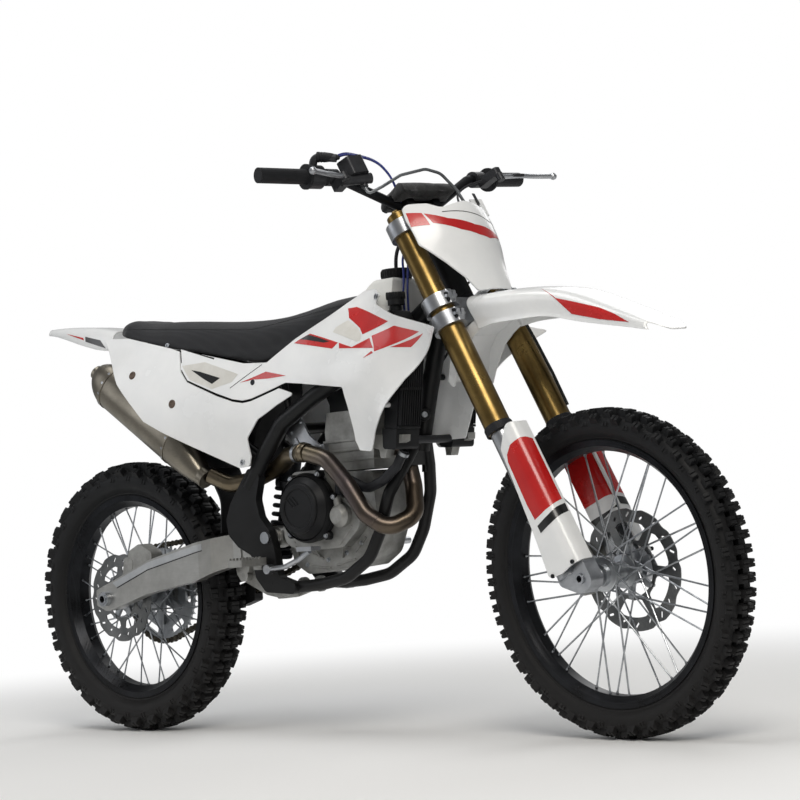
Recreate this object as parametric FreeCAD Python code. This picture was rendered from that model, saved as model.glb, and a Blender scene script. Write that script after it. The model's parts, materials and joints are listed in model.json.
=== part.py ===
import FreeCAD, Part
import math
import os
from dataclasses import dataclass

os.makedirs("parts", exist_ok=True)
V = FreeCAD.Vector

# A 250 class motocross bike in millimetres. Pieces are laid out from the ground point
# under the rear axle, with +X forward, +Y to the rider's left and +Z up. Front end
# pieces are laid out along the fork, then leaned back, turned and put in place. At the
# end everything is moved so that the origin is the rider's place on the seat.

# Layout
WHEELBASE = 1480.0
RAKE = 26.5                # steering axis, degrees back from upright
CLAMP_OFFSET = 22.0        # fork legs ahead of the steering axis
AXLE_LEAD = 32.0           # axle ahead of the fork legs
FORK_SPREAD = 97.0         # steering axis to a fork leg, sideways
REST_STEER = -5.45         # the bars are turned a little to the right
RIDER_X = 540.0
RIDER_Z = 980.0

# Running fits and seats
PIN_CLEARANCE = 0.05
SEAT_GAP = 0.3

# Fork
FORK_UPPER_R = 27.0
FORK_LOWER_R = 29.5
FORK_CAP_R = 25.0
FORK_CAP_HEIGHT = 18.0
FORK_TOP = 905.0           # top of the outer tubes above the axle, along the fork
OUTER_TUBE_END = 370.0
SLIDER_R = 24.0
GUARD_FRONT = 80.0
GUARD_SEAT = 123.2         # outer face of the bosses that carry the guards
LUG_INNER = 70.0
LUG_OUTER = 108.0
LOWER_CLAMP_LOW = 627.0
LOWER_CLAMP_HIGH = 705.0
UPPER_CLAMP_LOW = 868.0
UPPER_CLAMP_HIGH = 903.0
CLAMP_WALL = 9.0
FENDER_REAR = 66.0          # the front fender's shell starts just ahead of the clamp's lugs
STEM_R = 15.0
HEAD_TUBE_R = 31.0
HEAD_GAP = 6.0             # bearing covers between head tube and clamps

# Axles
FRONT_AXLE_R = 11.0
FRONT_AXLE_BORE = 7.0
FRONT_AXLE_END = 113.0
REAR_AXLE_R = 12.5
REAR_AXLE_BORE = 8.5
REAR_AXLE_END = 135.0
AXLE_NUT_R = 18.0

# Brakes
DISC_THICKNESS = 3.0
FRONT_DISC_R = 130.0
REAR_DISC_R = 110.0
FRONT_DISC_Y = 57.0
REAR_DISC_Y = -70.0

# Drive
CHAIN_PITCH = 15.875
CHAIN_Y = 71.0
CHAIN_WIDTH = 17.0
CHAIN_HEIGHT = 15.0
CHAIN_WAIST = 10.0
SPROCKET_WIDTH = 7.0
REAR_TEETH = 48
FRONT_TEETH = 13
FRONT_SPROCKET_X = 632.0
FRONT_SPROCKET_Z = 478.0

# Swingarm
PIVOT_X = 560.0
PIVOT_Z = 465.0
PIVOT_R = 9.0
PIVOT_BOSS_R = 26.0
ARM_INNER = 87.0
ARM_OUTER = 118.0
ARM_FRONT_INNER = 46.0
ARM_FRONT_OUTER = 75.0

# Linkage under the swingarm
LINK_X = 412.0
LINK_Z = 378.0
LINK_HALF = 23.0
LINK_PIN_R = 6.0
LINK_PIN_HALF = 42.0
SHOCK_X = 478.0
SHOCK_Z = 350.0
CROSS_X = 600.0            # lower cross tube of the frame, which carries the pull rods
CROSS_Z = 348.0
CROSS_R = 11.0

# Frame
SPAR_R = 19.0
CRADLE_R = 14.0
DOWNTUBE_R = 20.0
PLATE_INNER = 82.0
PLATE_OUTER = 104.0
SUBFRAME_R = 9.0
RAIL_END_Z = 953.0

# Engine
CASE_HALF = 60.0
CASE_SIDE = 89.0           # outer face of the clutch-side case
CLUTCH_X = 700.0
CLUTCH_Z = 527.0
CLUTCH_R = 79.0
CLUTCH_DEPTH = 44.0
PUMP_X = 797.0
PUMP_Z = 505.0
HEADER_R = 20.0
HEADER_WALL = 1.5

# Radiators
RADIATOR_INNER = 58.0
RADIATOR_OUTER = 134.0
FILLER_X = 991.0            # filler neck on the right radiator
FILLER_Y = -78.0
FILLER_R = 18.0

# Silencer
SILENCER_X = 272.0
SILENCER_Z = 706.0
SILENCER_Y = -97.0
SILENCER_HALF_WIDTH = 43.0
SILENCER_HALF_HEIGHT = 56.0

# Tank
TANK_TOP = 1030.0
CAP_HEIGHT = 20.0
CAP_R = 35.0

# Plastics
PANEL_WALL = 3.5
FENDER_WALL = 3.5

# Bars
BAR_R = 11.0
BAR_CENTRE_R = 14.3
BAR_END = 402.0
BAR_RISE = 59.0             # centre of the bar above the upper clamp
GRIP_R = 17.0
GRIP_LENGTH = 116.0
GRIP_FLANGE = 3.0
PAD_HALF = 88.0

SIN_RAKE = math.sin(math.radians(RAKE))
COS_RAKE = math.cos(math.radians(RAKE))
FORK_A = CLAMP_OFFSET
AXLE_A = CLAMP_OFFSET + AXLE_LEAD


@dataclass
class Wheel:
    """Sizes of one wheel; radii from the axle, rises above the bead seat, widths from the middle."""
    rim_radius: float
    bead_rise: float
    flange_rise: float
    rim_half: float
    well_half: float
    wide_rise: float
    wide_half: float
    shoulder_rise: float
    shoulder_half: float
    crown_rise: float
    crown_half: float
    knob_rise: float
    pitches: int
    hub_flange_radius: float
    hub_flange_y: float
    axle_radius: float

    def __post_init__(self):
        self.bead_radius = self.rim_radius + self.bead_rise
        self.flange_radius = self.bead_radius + self.flange_rise
        self.wide_radius = self.bead_radius + self.wide_rise
        self.shoulder_radius = self.bead_radius + self.shoulder_rise
        self.crown_radius = self.bead_radius + self.crown_rise
        self.knob_radius = self.bead_radius + self.knob_rise


FRONT = Wheel(rim_radius=256.0, bead_rise=11.0, flange_rise=13.0, rim_half=28.0, well_half=12.0,
              wide_rise=37.0, wide_half=38.5, shoulder_rise=55.0, shoulder_half=36.0, crown_rise=65.0,
              crown_half=20.0, knob_rise=79.0, pitches=36, hub_flange_radius=36.0, hub_flange_y=32.0,
              axle_radius=FRONT_AXLE_R)
REAR = Wheel(rim_radius=226.0, bead_rise=15.0, flange_rise=14.0, rim_half=35.0, well_half=15.0,
             wide_rise=49.0, wide_half=51.5, shoulder_rise=68.0, shoulder_half=48.0, crown_rise=81.0,
             crown_half=27.0, knob_rise=97.0, pitches=32, hub_flange_radius=42.0, hub_flange_y=38.0,
             axle_radius=REAR_AXLE_R)
TYRE_ROOM = 16.0           # from the rear tyre to the mudguard and the swingarm's bridge

REAR_AXLE = V(0, 0, REAR.knob_radius)
FRONT_AXLE = V(WHEELBASE, 0, FRONT.knob_radius)
STEER_FOOT = FRONT_AXLE - V(COS_RAKE, 0, SIN_RAKE) * AXLE_A
STEER_AXIS = V(-SIN_RAKE, 0, COS_RAKE)
SPOKES_A_SIDE = 18
SPOKE_R = 2.0


# Shape helpers

def round_corner(before, at, after, radius):
    """Start, middle and end of the arc that rounds one corner of a path."""
    back = (before - at).normalize()
    ahead = (after - at).normalize()
    half = back.getAngle(ahead) / 2
    reach = radius / math.tan(half)
    bisector = (back + ahead).normalize()
    middle = at + bisector * (radius / math.sin(half) - radius)
    return at + back * reach, middle, at + ahead * reach


def path_wire(points, radii, closed=False):
    """Straight runs joined by tangent arcs; a radius of 0 leaves a sharp corner."""
    count = len(points)
    stops = []
    for i, at in enumerate(points):
        if radii[i] and (closed or 0 < i < count - 1):
            stops.append(round_corner(points[i - 1], at, points[(i + 1) % count], radii[i]))
        else:
            stops.append((at, None, at))
    edges = []
    for i, (start, middle, end) in enumerate(stops):
        if middle is not None:
            edges.append(Part.Arc(start, middle, end).toShape())
        if i + 1 < count or closed:
            following = stops[(i + 1) % count][0]
            if (following - end).Length > 1e-6:
                edges.append(Part.LineSegment(end, following).toShape())
    return Part.Wire(edges)


def outline_xz(outline):
    """Closed wire in the XZ plane from (x, z) or (x, z, corner radius) entries."""
    points = [V(p[0], 0, p[1]) for p in outline]
    radii = [p[2] if len(p) > 2 else 0 for p in outline]
    return path_wire(points, radii, closed=True)


def plate(outline, low_y, high_y):
    """Plate with an XZ outline between two Y values."""
    face = Part.Face(outline_xz(outline))
    face.translate(V(0, low_y, 0))
    return face.extrude(V(0, high_y - low_y, 0))


def plan(outline, low_z, high_z):
    """Plate with an XY outline between two heights."""
    points = [V(p[0], p[1], low_z) for p in outline]
    radii = [p[2] if len(p) > 2 else 0 for p in outline]
    return Part.Face(path_wire(points, radii, closed=True)).extrude(V(0, 0, high_z - low_z))


def cylinder(start, end, radius):
    """Solid round bar between two points."""
    return Part.makeCylinder(radius, (end - start).Length, start, end - start)


def barrel_y(x, z, low_y, high_y, radius):
    """Round bar along Y."""
    return cylinder(V(x, low_y, z), V(x, high_y, z), radius)


def tube(points, radius, bends, bore=0.0):
    """Bar or pipe along straight runs and arcs; bends is one radius or one a corner."""
    if not isinstance(bends, (list, tuple)):
        bends = [bends] * len(points)
    path = path_wire(points, bends)
    direction = points[1] - points[0]

    def swept(size):
        circle = Part.Wire(Part.Circle(points[0], direction, size).toShape())
        return path.makePipeShell([circle], True, False)

    body = swept(radius)
    if bore:
        body = body.cut(swept(bore))
    return body


def revolve_y(profile):
    """Ring or disc about the Y axis from (radius, y) points."""
    wire = Part.makePolygon([V(r, y, 0) for r, y in profile + profile[:1]])
    return Part.Face(wire).revolve(V(0, 0, 0), V(0, 1, 0), 360)


def around_y(shape, count, phase=0.0):
    """Copies of a shape spaced evenly about the Y axis."""
    copies = []
    for i in range(count):
        copy = shape.copy()
        copy.rotate(V(0, 0, 0), V(0, 1, 0), phase + 360.0 * i / count)
        copies.append(copy)
    return copies


def moved(shape, offset):
    """A moved copy."""
    copy = shape.copy()
    copy.translate(offset)
    return copy


def both_sides(shape):
    """The shape and its mirror image across the middle plane."""
    return [shape, shape.mirror(V(0, 0, 0), V(0, 1, 0))]


def polyhedron(points, loops):
    """Solid with flat faces from corner points and loops of their numbers."""
    faces = [Part.Face(Part.makePolygon([points[i] for i in loop + loop[:1]])) for loop in loops]
    solid = Part.makeSolid(Part.makeShell(faces))
    if solid.Volume < 0:
        solid.reverse()
    return solid


def block8(low, high):
    """Six-sided block from four bottom corners and the four above them."""
    loops = [[3, 2, 1, 0], [4, 5, 6, 7], [0, 1, 5, 4], [1, 2, 6, 5], [2, 3, 7, 6], [3, 0, 4, 7]]
    return polyhedron(low + high, loops)


def box(low, high):
    """Box from its lowest corner to its highest."""
    return Part.makeBox(high[0] - low[0], high[1] - low[1], high[2] - low[2], V(*low))


def smooth_face(rows):
    """One curved face through a grid of points."""
    surface = Part.BSplineSurface()
    surface.interpolate([[V(*p) for p in row] for row in rows])
    return surface.toShape()


def union(shapes):
    """Several shapes fused into one, without the seams between flat faces."""
    fused = shapes[0].multiFuse(shapes[1:])
    return fused.removeSplitter()


def at_head(ahead, up, side=0.0):
    """Point given from the unturned steering axis: ahead of it, up along it, to the left."""
    return STEER_FOOT + V(COS_RAKE, 0, SIN_RAKE) * ahead + STEER_AXIS * up + V(0, side, 0)


def spline_section(points, wall):
    """Closed wire of a thin curved section: a smooth outer line, its offset and two ends."""
    outer = Part.BSplineCurve()
    outer.interpolate(points)
    inner_points = []
    for i, at in enumerate(points):
        ahead = points[min(i + 1, len(points) - 1)] - points[max(i - 1, 0)]
        inward = V(1, 0, 0).cross(ahead).normalize()
        inner_points.append(at + inward * wall)
    inner = Part.BSplineCurve()
    inner.interpolate(inner_points)
    edges = [outer.toShape(), Part.LineSegment(points[-1], inner_points[-1]).toShape(),
             inner.toShape(), Part.LineSegment(inner_points[0], points[0]).toShape()]
    return Part.Wire(Part.__sortEdges__(edges))


def along_fork(shape):
    """Lay a piece built along the fork in its place on the turned front end."""
    copy = shape.copy()
    copy.rotate(V(0, 0, 0), V(0, 1, 0), -RAKE)
    copy.translate(STEER_FOOT)
    copy.rotate(STEER_FOOT, STEER_AXIS, REST_STEER)
    return copy


def save(name, *shapes):
    """Write one node with its origin at the rider's place."""
    solids = [solid for shape in shapes for solid in shape.Solids]
    whole = solids[0] if len(solids) == 1 else Part.makeCompound(solids)
    whole = moved(whole, V(-RIDER_X, 0, -RIDER_Z))
    if not whole.isValid():
        print("invalid", name)
    whole.exportStep("parts/%s.step" % name)
    print(name, len(solids), round(sum(s.Volume for s in solids) / 1000.0), "cm3")


# Wheels, built about the Y axis at the origin

def tyre_profile(wheel):
    """Corners (y, radius) of the flat-sided tyre section, from the bead up to the crown."""
    chord = math.cos(math.pi / wheel.pitches)
    bead_half = wheel.rim_half - 3.2 - SEAT_GAP
    return [(bead_half, (wheel.bead_radius + SEAT_GAP) / chord),
            (bead_half, (wheel.flange_radius + SEAT_GAP) / chord + 1.0),
            (wheel.wide_half, wheel.wide_radius),
            (wheel.shoulder_half, wheel.shoulder_radius),
            (wheel.crown_half, wheel.crown_radius)]


def knob(lower, upper, along, across, height, taper=2.0):
    """Tread block on the slope between two (y, radius) points of the middle section."""
    slope = V(0, upper[0] - lower[0], upper[1] - lower[1])
    normal = slope.cross(V(1, 0, 0)).normalize()
    if normal.z < 0:
        normal = normal * -1
    start = V(0, lower[0], lower[1])

    def corners(grow, lift):
        reach = grow / slope.Length
        ends = [(along[0] - grow, across[0] - reach), (along[1] + grow, across[0] - reach),
                (along[1] + grow, across[1] + reach), (along[0] - grow, across[1] + reach)]
        return [start + slope * u + V(t, 0, 0) + normal * lift for t, u in ends]

    return block8(corners(taper / 2, -1.0), corners(-taper / 2, height))


def tyre_pitch(wheel):
    """One pitch of the tyre: carcass wedge with a crown block and two shoulder blocks."""
    half_angle = math.pi / wheel.pitches
    side = tyre_profile(wheel)
    ring = side + [(-y, r) for y, r in reversed(side)]
    points = [V(r * math.sin(a), y, r * math.cos(a)) for a in (-half_angle, half_angle) for y, r in ring]
    count = len(ring)
    loops = [list(range(count)), list(range(2 * count - 1, count - 1, -1))]
    loops += [[i, (i + 1) % count, (i + 1) % count + count, i + count] for i in range(count)]
    wedge = polyhedron(points, loops)
    chord = math.cos(half_angle)
    crown = (wheel.crown_half, wheel.crown_radius * chord)
    shoulder = (wheel.shoulder_half, wheel.shoulder_radius * chord)
    run = wheel.crown_radius * math.sin(half_angle)
    crown_height = wheel.knob_radius - wheel.crown_radius * chord
    blocks = [knob((-crown[0], crown[1]), crown, (-0.88 * run, -0.06 * run), (0.06, 0.94), crown_height)]
    for hand in (1, -1):
        blocks.append(knob((hand * shoulder[0], shoulder[1]), (hand * crown[0], crown[1]),
                           (0.12 * run, 0.9 * run), (0.06, 0.8), crown_height - 1.0))
    return wedge.multiFuse(blocks).removeSplitter(), half_angle


def tyre(wheel):
    """Whole tyre: the outer faces of one pitch, repeated and sewn to a closed skin."""
    pitch, half_angle = tyre_pitch(wheel)
    end_normal = V(math.cos(half_angle), 0, -math.sin(half_angle))
    skin = []
    for face in pitch.Faces:
        centre = face.CenterOfMass
        mirrored = V(abs(centre.x), centre.y, centre.z)
        if abs(mirrored.dot(end_normal)) > 1e-3 or abs(face.normalAt(0, 0).y) > 0.999:
            skin.append(face)
    faces = []
    for i in range(wheel.pitches):
        for face in skin:
            copy = face.copy()
            copy.rotate(V(0, 0, 0), V(0, 1, 0), 360.0 * i / wheel.pitches)
            faces.append(copy)
    sewn = Part.makeCompound(faces)
    sewn.sewShape(1e-4)
    return Part.makeSolid(sewn.Shells[0])


def rim(wheel):
    """Dished aluminium rim with its bead channel, well and flanges."""
    wall = 3.2
    half = [(wheel.rim_radius, 0), (wheel.rim_radius, wheel.well_half),
            (wheel.bead_radius - 5.0, wheel.rim_half - 7.0), (wheel.bead_radius, wheel.rim_half),
            (wheel.flange_radius, wheel.rim_half), (wheel.flange_radius, wheel.rim_half - wall),
            (wheel.bead_radius, wheel.rim_half - wall),
            (wheel.bead_radius, wheel.rim_half - 9.0),
            (wheel.rim_radius + wall, wheel.well_half + 1.0), (wheel.rim_radius + wall, 0)]
    other = [(r, -y) for r, y in reversed(half[1:-1])]
    return revolve_y(half + other)


def spokes(wheel, side_swing):
    """Crossed spokes between hub flange and rim, each trimmed to both."""
    made = []
    fit = revolve_y([(wheel.hub_flange_radius, -60), (wheel.rim_radius, -60),
                     (wheel.rim_radius, 60), (wheel.hub_flange_radius, 60)])
    for side in (1, -1):
        for i in range(SPOKES_A_SIDE):
            lean = 1 if i % 2 else -1
            hub_angle = math.radians(360.0 * i / SPOKES_A_SIDE + (10.0 if side > 0 else 0.0))
            rim_angle = hub_angle + math.radians(lean * side_swing)
            hub_y = side * (wheel.hub_flange_y + lean * 3.0)
            rim_y = side * (5.0 + lean * 1.5)
            inner = wheel.hub_flange_radius * 0.9
            outer = wheel.rim_radius + 4.0
            start = V(inner * math.sin(hub_angle), hub_y, inner * math.cos(hub_angle))
            end = V(outer * math.sin(rim_angle), rim_y, outer * math.cos(rim_angle))
            corners = Part.makePolygon([V(SPOKE_R * math.cos(k * math.pi / 3), SPOKE_R * math.sin(k * math.pi / 3), 0)
                                        for k in range(7)])
            bar = Part.Face(corners).extrude(V(0, 0, (end - start).Length))
            bar.Placement = FreeCAD.Placement(start, FreeCAD.Rotation(V(0, 0, 1), end - start))
            made.append(bar)
    return Part.makeCompound(made).common(fit)


def front_hub():
    """Machined spool with two spoke flanges and the disc carrier on its left."""
    end = LUG_INNER - 1.0
    flange = FRONT.hub_flange_radius
    spoke_y = FRONT.hub_flange_y
    disc_face = FRONT_DISC_Y - DISC_THICKNESS / 2
    bore = FRONT_AXLE_R + PIN_CLEARANCE
    body = revolve_y([(bore, -end), (16, -end), (16, -54), (24, -52), (24, -spoke_y - 8), (flange, -spoke_y - 6),
                      (flange, -spoke_y + 6), (22, -spoke_y + 9), (20, 0), (22, spoke_y - 9),
                      (flange, spoke_y - 6), (flange, spoke_y + 6), (28, spoke_y + 8), (28, disc_face),
                      (16, disc_face + 4), (16, end), (bore, end)])
    arm = plate([(-9, 26), (9, 26), (6, 62, 5), (-6, 62, 5)], disc_face - 8, disc_face)
    return union([body] + around_y(arm, 6, 30))


def rear_hub():
    """Rear spool with the disc carrier on the right and the sprocket carrier on the left."""
    flange = REAR.hub_flange_radius
    spoke_y = REAR.hub_flange_y
    disc_face = REAR_DISC_Y + DISC_THICKNESS / 2
    sprocket_face = CHAIN_Y - SPROCKET_WIDTH / 2
    bore = REAR_AXLE_R + PIN_CLEARANCE
    end = ARM_INNER - 1.0
    body = revolve_y([(bore, -end), (20, -end), (20, disc_face - 4), (30, disc_face), (30, -spoke_y - 8),
                      (flange, -spoke_y - 6), (flange, -spoke_y + 6), (26, -spoke_y + 10), (24, 0),
                      (26, spoke_y - 10), (flange, spoke_y - 6), (flange, spoke_y + 6), (36, spoke_y + 9),
                      (36, sprocket_face), (24, sprocket_face + 4), (22, end), (bore, end)])
    disc_arm = plate([(-9, 28), (9, 28), (6, 56, 5), (-6, 56, 5)], disc_face, disc_face + 8)
    drive_arm = plate([(-14, 33), (14, 33), (8, 80, 7), (-8, 80, 7)], sprocket_face - 10, sprocket_face)
    return union([body] + around_y(disc_arm, 6, 30) + around_y(drive_arm, 6))


def brake_disc(radius, hole, middle_y, scallops):
    """Wave disc: scalloped edge, scalloped middle, slots between."""
    low = middle_y - DISC_THICKNESS / 2
    high = middle_y + DISC_THICKNESS / 2
    blank = revolve_y([(hole, low), (radius, low), (radius, high), (hole, high)])
    dip = barrel_y(0, radius + 22, low - 1, high + 1, 27)
    slot = plate([(-5, radius - 25, 4), (5, radius - 25, 4), (5, radius - 10, 4), (-5, radius - 10, 4)],
                 low - 1, high + 1)
    return blank.cut(Part.makeCompound(around_y(dip, scallops) + around_y(slot, scallops, 180.0 / scallops)))


def tooth_outline(teeth):
    """Sprocket outline: each tooth has two flanks and a tip, with a seat for the roller."""
    pitch_radius = CHAIN_PITCH / (2 * math.sin(math.pi / teeth))
    step = 2 * math.pi / teeth
    points = []
    for i in range(teeth):
        for share, lift in ((-0.3, -3.8), (0.0, -5.0), (0.3, -3.8), (0.5, 5.0)):
            angle = (i + share) * step
            points.append(((pitch_radius + lift) * math.sin(angle), (pitch_radius + lift) * math.cos(angle)))
    return points


def rear_sprocket():
    """Rear sprocket ring with open windows between its bolt lands."""
    low = CHAIN_Y - SPROCKET_WIDTH / 2
    high = CHAIN_Y + SPROCKET_WIDTH / 2
    blank = plate(tooth_outline(REAR_TEETH), low, high)
    middle = barrel_y(0, 0, low - 1, high + 1, 60)
    window = plate([(-24, 86, 6), (24, 86, 6), (28, 104, 6), (-28, 104, 6)], low - 1, high + 1)
    return blank.cut(Part.makeCompound([middle] + around_y(window, 6, 30)))


# Front end, built along the fork: X ahead of the steering axis, Z up along it

def fork_tubes():
    """Outer fork tubes, thicker under the lower clamp, with their caps."""
    made = []
    for hand in (-1, 1):
        y = hand * FORK_SPREAD
        low = cylinder(V(FORK_A, y, OUTER_TUBE_END), V(FORK_A, y, LOWER_CLAMP_HIGH), FORK_LOWER_R)
        high = cylinder(V(FORK_A, y, LOWER_CLAMP_HIGH), V(FORK_A, y, FORK_TOP), FORK_UPPER_R)
        seal = cylinder(V(FORK_A, y, OUTER_TUBE_END), V(FORK_A, y, OUTER_TUBE_END + 14), FORK_LOWER_R + 1.5)
        cap = cylinder(V(FORK_A, y, FORK_TOP), V(FORK_A, y, FORK_TOP + FORK_CAP_HEIGHT), FORK_CAP_R)
        made.append(union([low, high, seal, cap]))
    return made


def fork_legs():
    """Sliding legs with the cast axle lug at the foot."""
    made = []
    for hand in (-1, 1):
        y = hand * FORK_SPREAD
        near = hand * LUG_INNER
        far = hand * LUG_OUTER
        leg = cylinder(V(FORK_A, y, 20), V(FORK_A, y, OUTER_TUBE_END), SLIDER_R)
        lug = plate([(FORK_A - 20, 112, 14), (FORK_A + 24, 112, 14), (AXLE_A + 26, 28, 20), (AXLE_A + 26, -27, 20),
                     (AXLE_A - 18, -27, 20), (FORK_A - 26, 12, 14)], min(near, far), max(near, far))
        seat = hand * GUARD_SEAT
        boss = barrel_y(FORK_A + 14, 74, min(y, seat), max(y, seat), 8)
        foot = union([leg, lug, boss])
        foot = foot.cut(barrel_y(AXLE_A, 0, -130, 130, FRONT_AXLE_R + PIN_CLEARANCE))
        made.append(foot)
    return made


def fork_guards():
    """Moulded guards round the front and outside of each leg."""
    side = -(GUARD_SEAT + SEAT_GAP)
    wall = PANEL_WALL

    def skin(grow):
        front = GUARD_FRONT + grow
        return plan([(-30, side - grow), (front, side - grow, 26 + grow), (front, -78), (front - 40, -78 + 8),
                     (-30, -78 + 8)], 14, 380)

    shell = skin(wall).cut(skin(0)).cut(box((-40, -90, 0), (GUARD_FRONT - 0.5, -60, 400)))
    shell = shell.cut(box((-40, side + 0.1, 0), (GUARD_FRONT - 27, -60, 400)))
    outline = plate([(26, 326, 10), (70, 368, 14), (GUARD_FRONT + 6, 358, 6), (GUARD_FRONT + 6, 32, 4),
                     (30, 26, 8), (-6, 34, 10), (6, 117, 20)], -160, -60)
    return both_sides(shell.common(outline).cut(Part.makeCompound(fork_legs())))


def front_axle():
    """Hollow front axle with its nut on the left."""
    bar = barrel_y(AXLE_A, 0, -FRONT_AXLE_END, FRONT_AXLE_END, FRONT_AXLE_R)
    nut = barrel_y(AXLE_A, 0, LUG_OUTER, FRONT_AXLE_END, AXLE_NUT_R)
    bore = barrel_y(AXLE_A, 0, -FRONT_AXLE_END - 1, FRONT_AXLE_END + 1, FRONT_AXLE_BORE)
    return union([bar, nut]).cut(bore)


def clamp_ring(low, high, radius, wall):
    """Split collars round both fork tubes, with the pinch lug in front."""
    outer = radius + wall
    rings = []
    for hand in (-1, 1):
        y = hand * FORK_SPREAD
        rings.append(cylinder(V(FORK_A, y, low), V(FORK_A, y, high), outer))
        lug = plan([(FORK_A + radius * 0.6, y - 10), (FORK_A + outer + 3, y - 10, 5), (FORK_A + outer + 3, y + 10, 5),
                    (FORK_A + radius * 0.6, y + 10)], low, high)
        rings.append(lug)
    return rings


def triple_clamps():
    """Both clamps on the steering stem."""
    lower = clamp_ring(LOWER_CLAMP_LOW, LOWER_CLAMP_LOW + 33, FORK_LOWER_R, CLAMP_WALL)
    lower += clamp_ring(LOWER_CLAMP_HIGH - 33, LOWER_CLAMP_HIGH, FORK_LOWER_R, CLAMP_WALL)
    lower_bridge = Part.Face(path_wire([V(-22, -22, 0), V(0, -FORK_SPREAD, 0), V(44, -FORK_SPREAD, 0), V(36, 0, 0),
                                        V(44, FORK_SPREAD, 0), V(0, FORK_SPREAD, 0), V(-22, 22, 0)],
                                       [14, 0, 0, 60, 0, 0, 14], closed=True))
    lower_bridge.translate(V(0, 0, LOWER_CLAMP_LOW + 8))
    lower.append(lower_bridge.extrude(V(0, 0, LOWER_CLAMP_HIGH - LOWER_CLAMP_LOW - 16)))
    upper = clamp_ring(UPPER_CLAMP_LOW, UPPER_CLAMP_HIGH, FORK_UPPER_R, CLAMP_WALL)
    upper_bridge = lower_bridge.copy()
    upper_bridge.translate(V(0, 0, UPPER_CLAMP_LOW + 4 - LOWER_CLAMP_LOW - 8))
    upper.append(upper_bridge.extrude(V(0, 0, UPPER_CLAMP_HIGH - UPPER_CLAMP_LOW - 8)))
    stem = cylinder(V(0, 0, LOWER_CLAMP_LOW), V(0, 0, UPPER_CLAMP_HIGH + 8), STEM_R)
    whole = union(lower + upper + [stem])
    for hand in (-1, 1):
        y = hand * FORK_SPREAD
        whole = whole.cut(cylinder(V(FORK_A, y, 600), V(FORK_A, y, LOWER_CLAMP_HIGH), FORK_LOWER_R + PIN_CLEARANCE))
        whole = whole.cut(cylinder(V(FORK_A, y, 600), V(FORK_A, y, 940), FORK_UPPER_R + PIN_CLEARANCE))
    return whole


BAR_Z = UPPER_CLAMP_HIGH + BAR_RISE
BAR_RUN = [V(-16, -BAR_END, BAR_Z + 94), V(6, -205, BAR_Z + 75), V(5, -58, BAR_Z), V(5, 58, BAR_Z),
           V(6, 205, BAR_Z + 75), V(-16, BAR_END, BAR_Z + 94)]


def handlebar():
    """Bent bar, thicker between the clamps, on two risers."""
    bar = tube(BAR_RUN, BAR_R, 55)
    centre = cylinder(V(5, -46, BAR_Z), V(5, 46, BAR_Z), BAR_CENTRE_R)
    risers = []
    for hand in (-1, 1):
        low = hand * 40.0 - 11
        risers.append(box((-14, low, UPPER_CLAMP_HIGH - 4), (24, low + 22, BAR_Z)))
        risers.append(cylinder(V(5, low, BAR_Z), V(5, low + 22, BAR_Z), 24))
    whole = union([bar, centre] + risers)
    return whole.cut(box((-40, -70, UPPER_CLAMP_HIGH - 20), (60, 70, UPPER_CLAMP_HIGH - 4 + SEAT_GAP)))


def bar_pad():
    """Foam pad over the middle of the bar and its clamps."""
    pad = Part.Face(path_wire([V(-30, -PAD_HALF, BAR_Z), V(-30, PAD_HALF, BAR_Z), V(-30, PAD_HALF - 10, BAR_Z + 38),
                               V(-30, -PAD_HALF + 10, BAR_Z + 38)], [8, 8, 12, 12], closed=True)).extrude(V(92, 0, 0))
    across = plate([(-30, BAR_Z + 10, 10), (-22, BAR_Z + 38, 14), (44, BAR_Z + 38, 14), (62, BAR_Z + 24, 10),
                    (62, BAR_Z - 12, 10), (-24, BAR_Z - 12, 8)], -100, 100)
    seat_cut = tube(BAR_RUN, BAR_R + SEAT_GAP, 55)
    clamps = [cylinder(V(5, hand * 40 - 11.3, BAR_Z), V(5, hand * 40 + 11.3, BAR_Z), 24 + SEAT_GAP)
              for hand in (-1, 1)]
    middle = cylinder(V(5, -46, BAR_Z), V(5, 46, BAR_Z), BAR_CENTRE_R + SEAT_GAP)
    return pad.common(across).cut(Part.makeCompound([seat_cut, middle] + clamps))


def bar_point(y):
    """Point on the outer straight of the bar at a given sideways place."""
    hand = -1 if y < 0 else 1
    inner = BAR_RUN[1]
    outer = BAR_RUN[0]
    share = (abs(y) - 205) / (BAR_END - 205)
    return V(inner.x + (outer.x - inner.x) * share, hand * abs(y), inner.z + (outer.z - inner.z) * share)


def sleeve(low, high, radius, bore):
    """Round sleeve on the outer straight of the bar, between two sideways places."""
    start = bar_point(low)
    end = bar_point(high)
    return cylinder(start, end, radius).cut(cylinder(start, end, bore))


def grips():
    """Rubber grips, closed at the end, with a flange inside."""
    made = []
    for hand in (-1, 1):
        end = hand * BAR_END
        inner = hand * (BAR_END - GRIP_LENGTH)
        tip = bar_point(hand * (BAR_END + 6))
        body = cylinder(bar_point(inner), tip, GRIP_R)
        flange = cylinder(bar_point(inner - hand * GRIP_FLANGE), bar_point(inner + hand * GRIP_FLANGE), GRIP_R + 11)
        grip = union([body, flange])
        made.append(grip.cut(cylinder(bar_point(inner - hand * 5), bar_point(end), BAR_R + PIN_CLEARANCE)))
    return made


def lever(run):
    """Blade lever ahead of a grip, flat at its middle, with a ball at its tip."""
    blade = tube(run, 5.0, 30)
    ball = Part.makeSphere(8, run[-1])
    boss = cylinder(run[0] - V(0, 0, 9), run[0] + V(0, 0, 9), 9)
    return union([blade, ball, boss])


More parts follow.
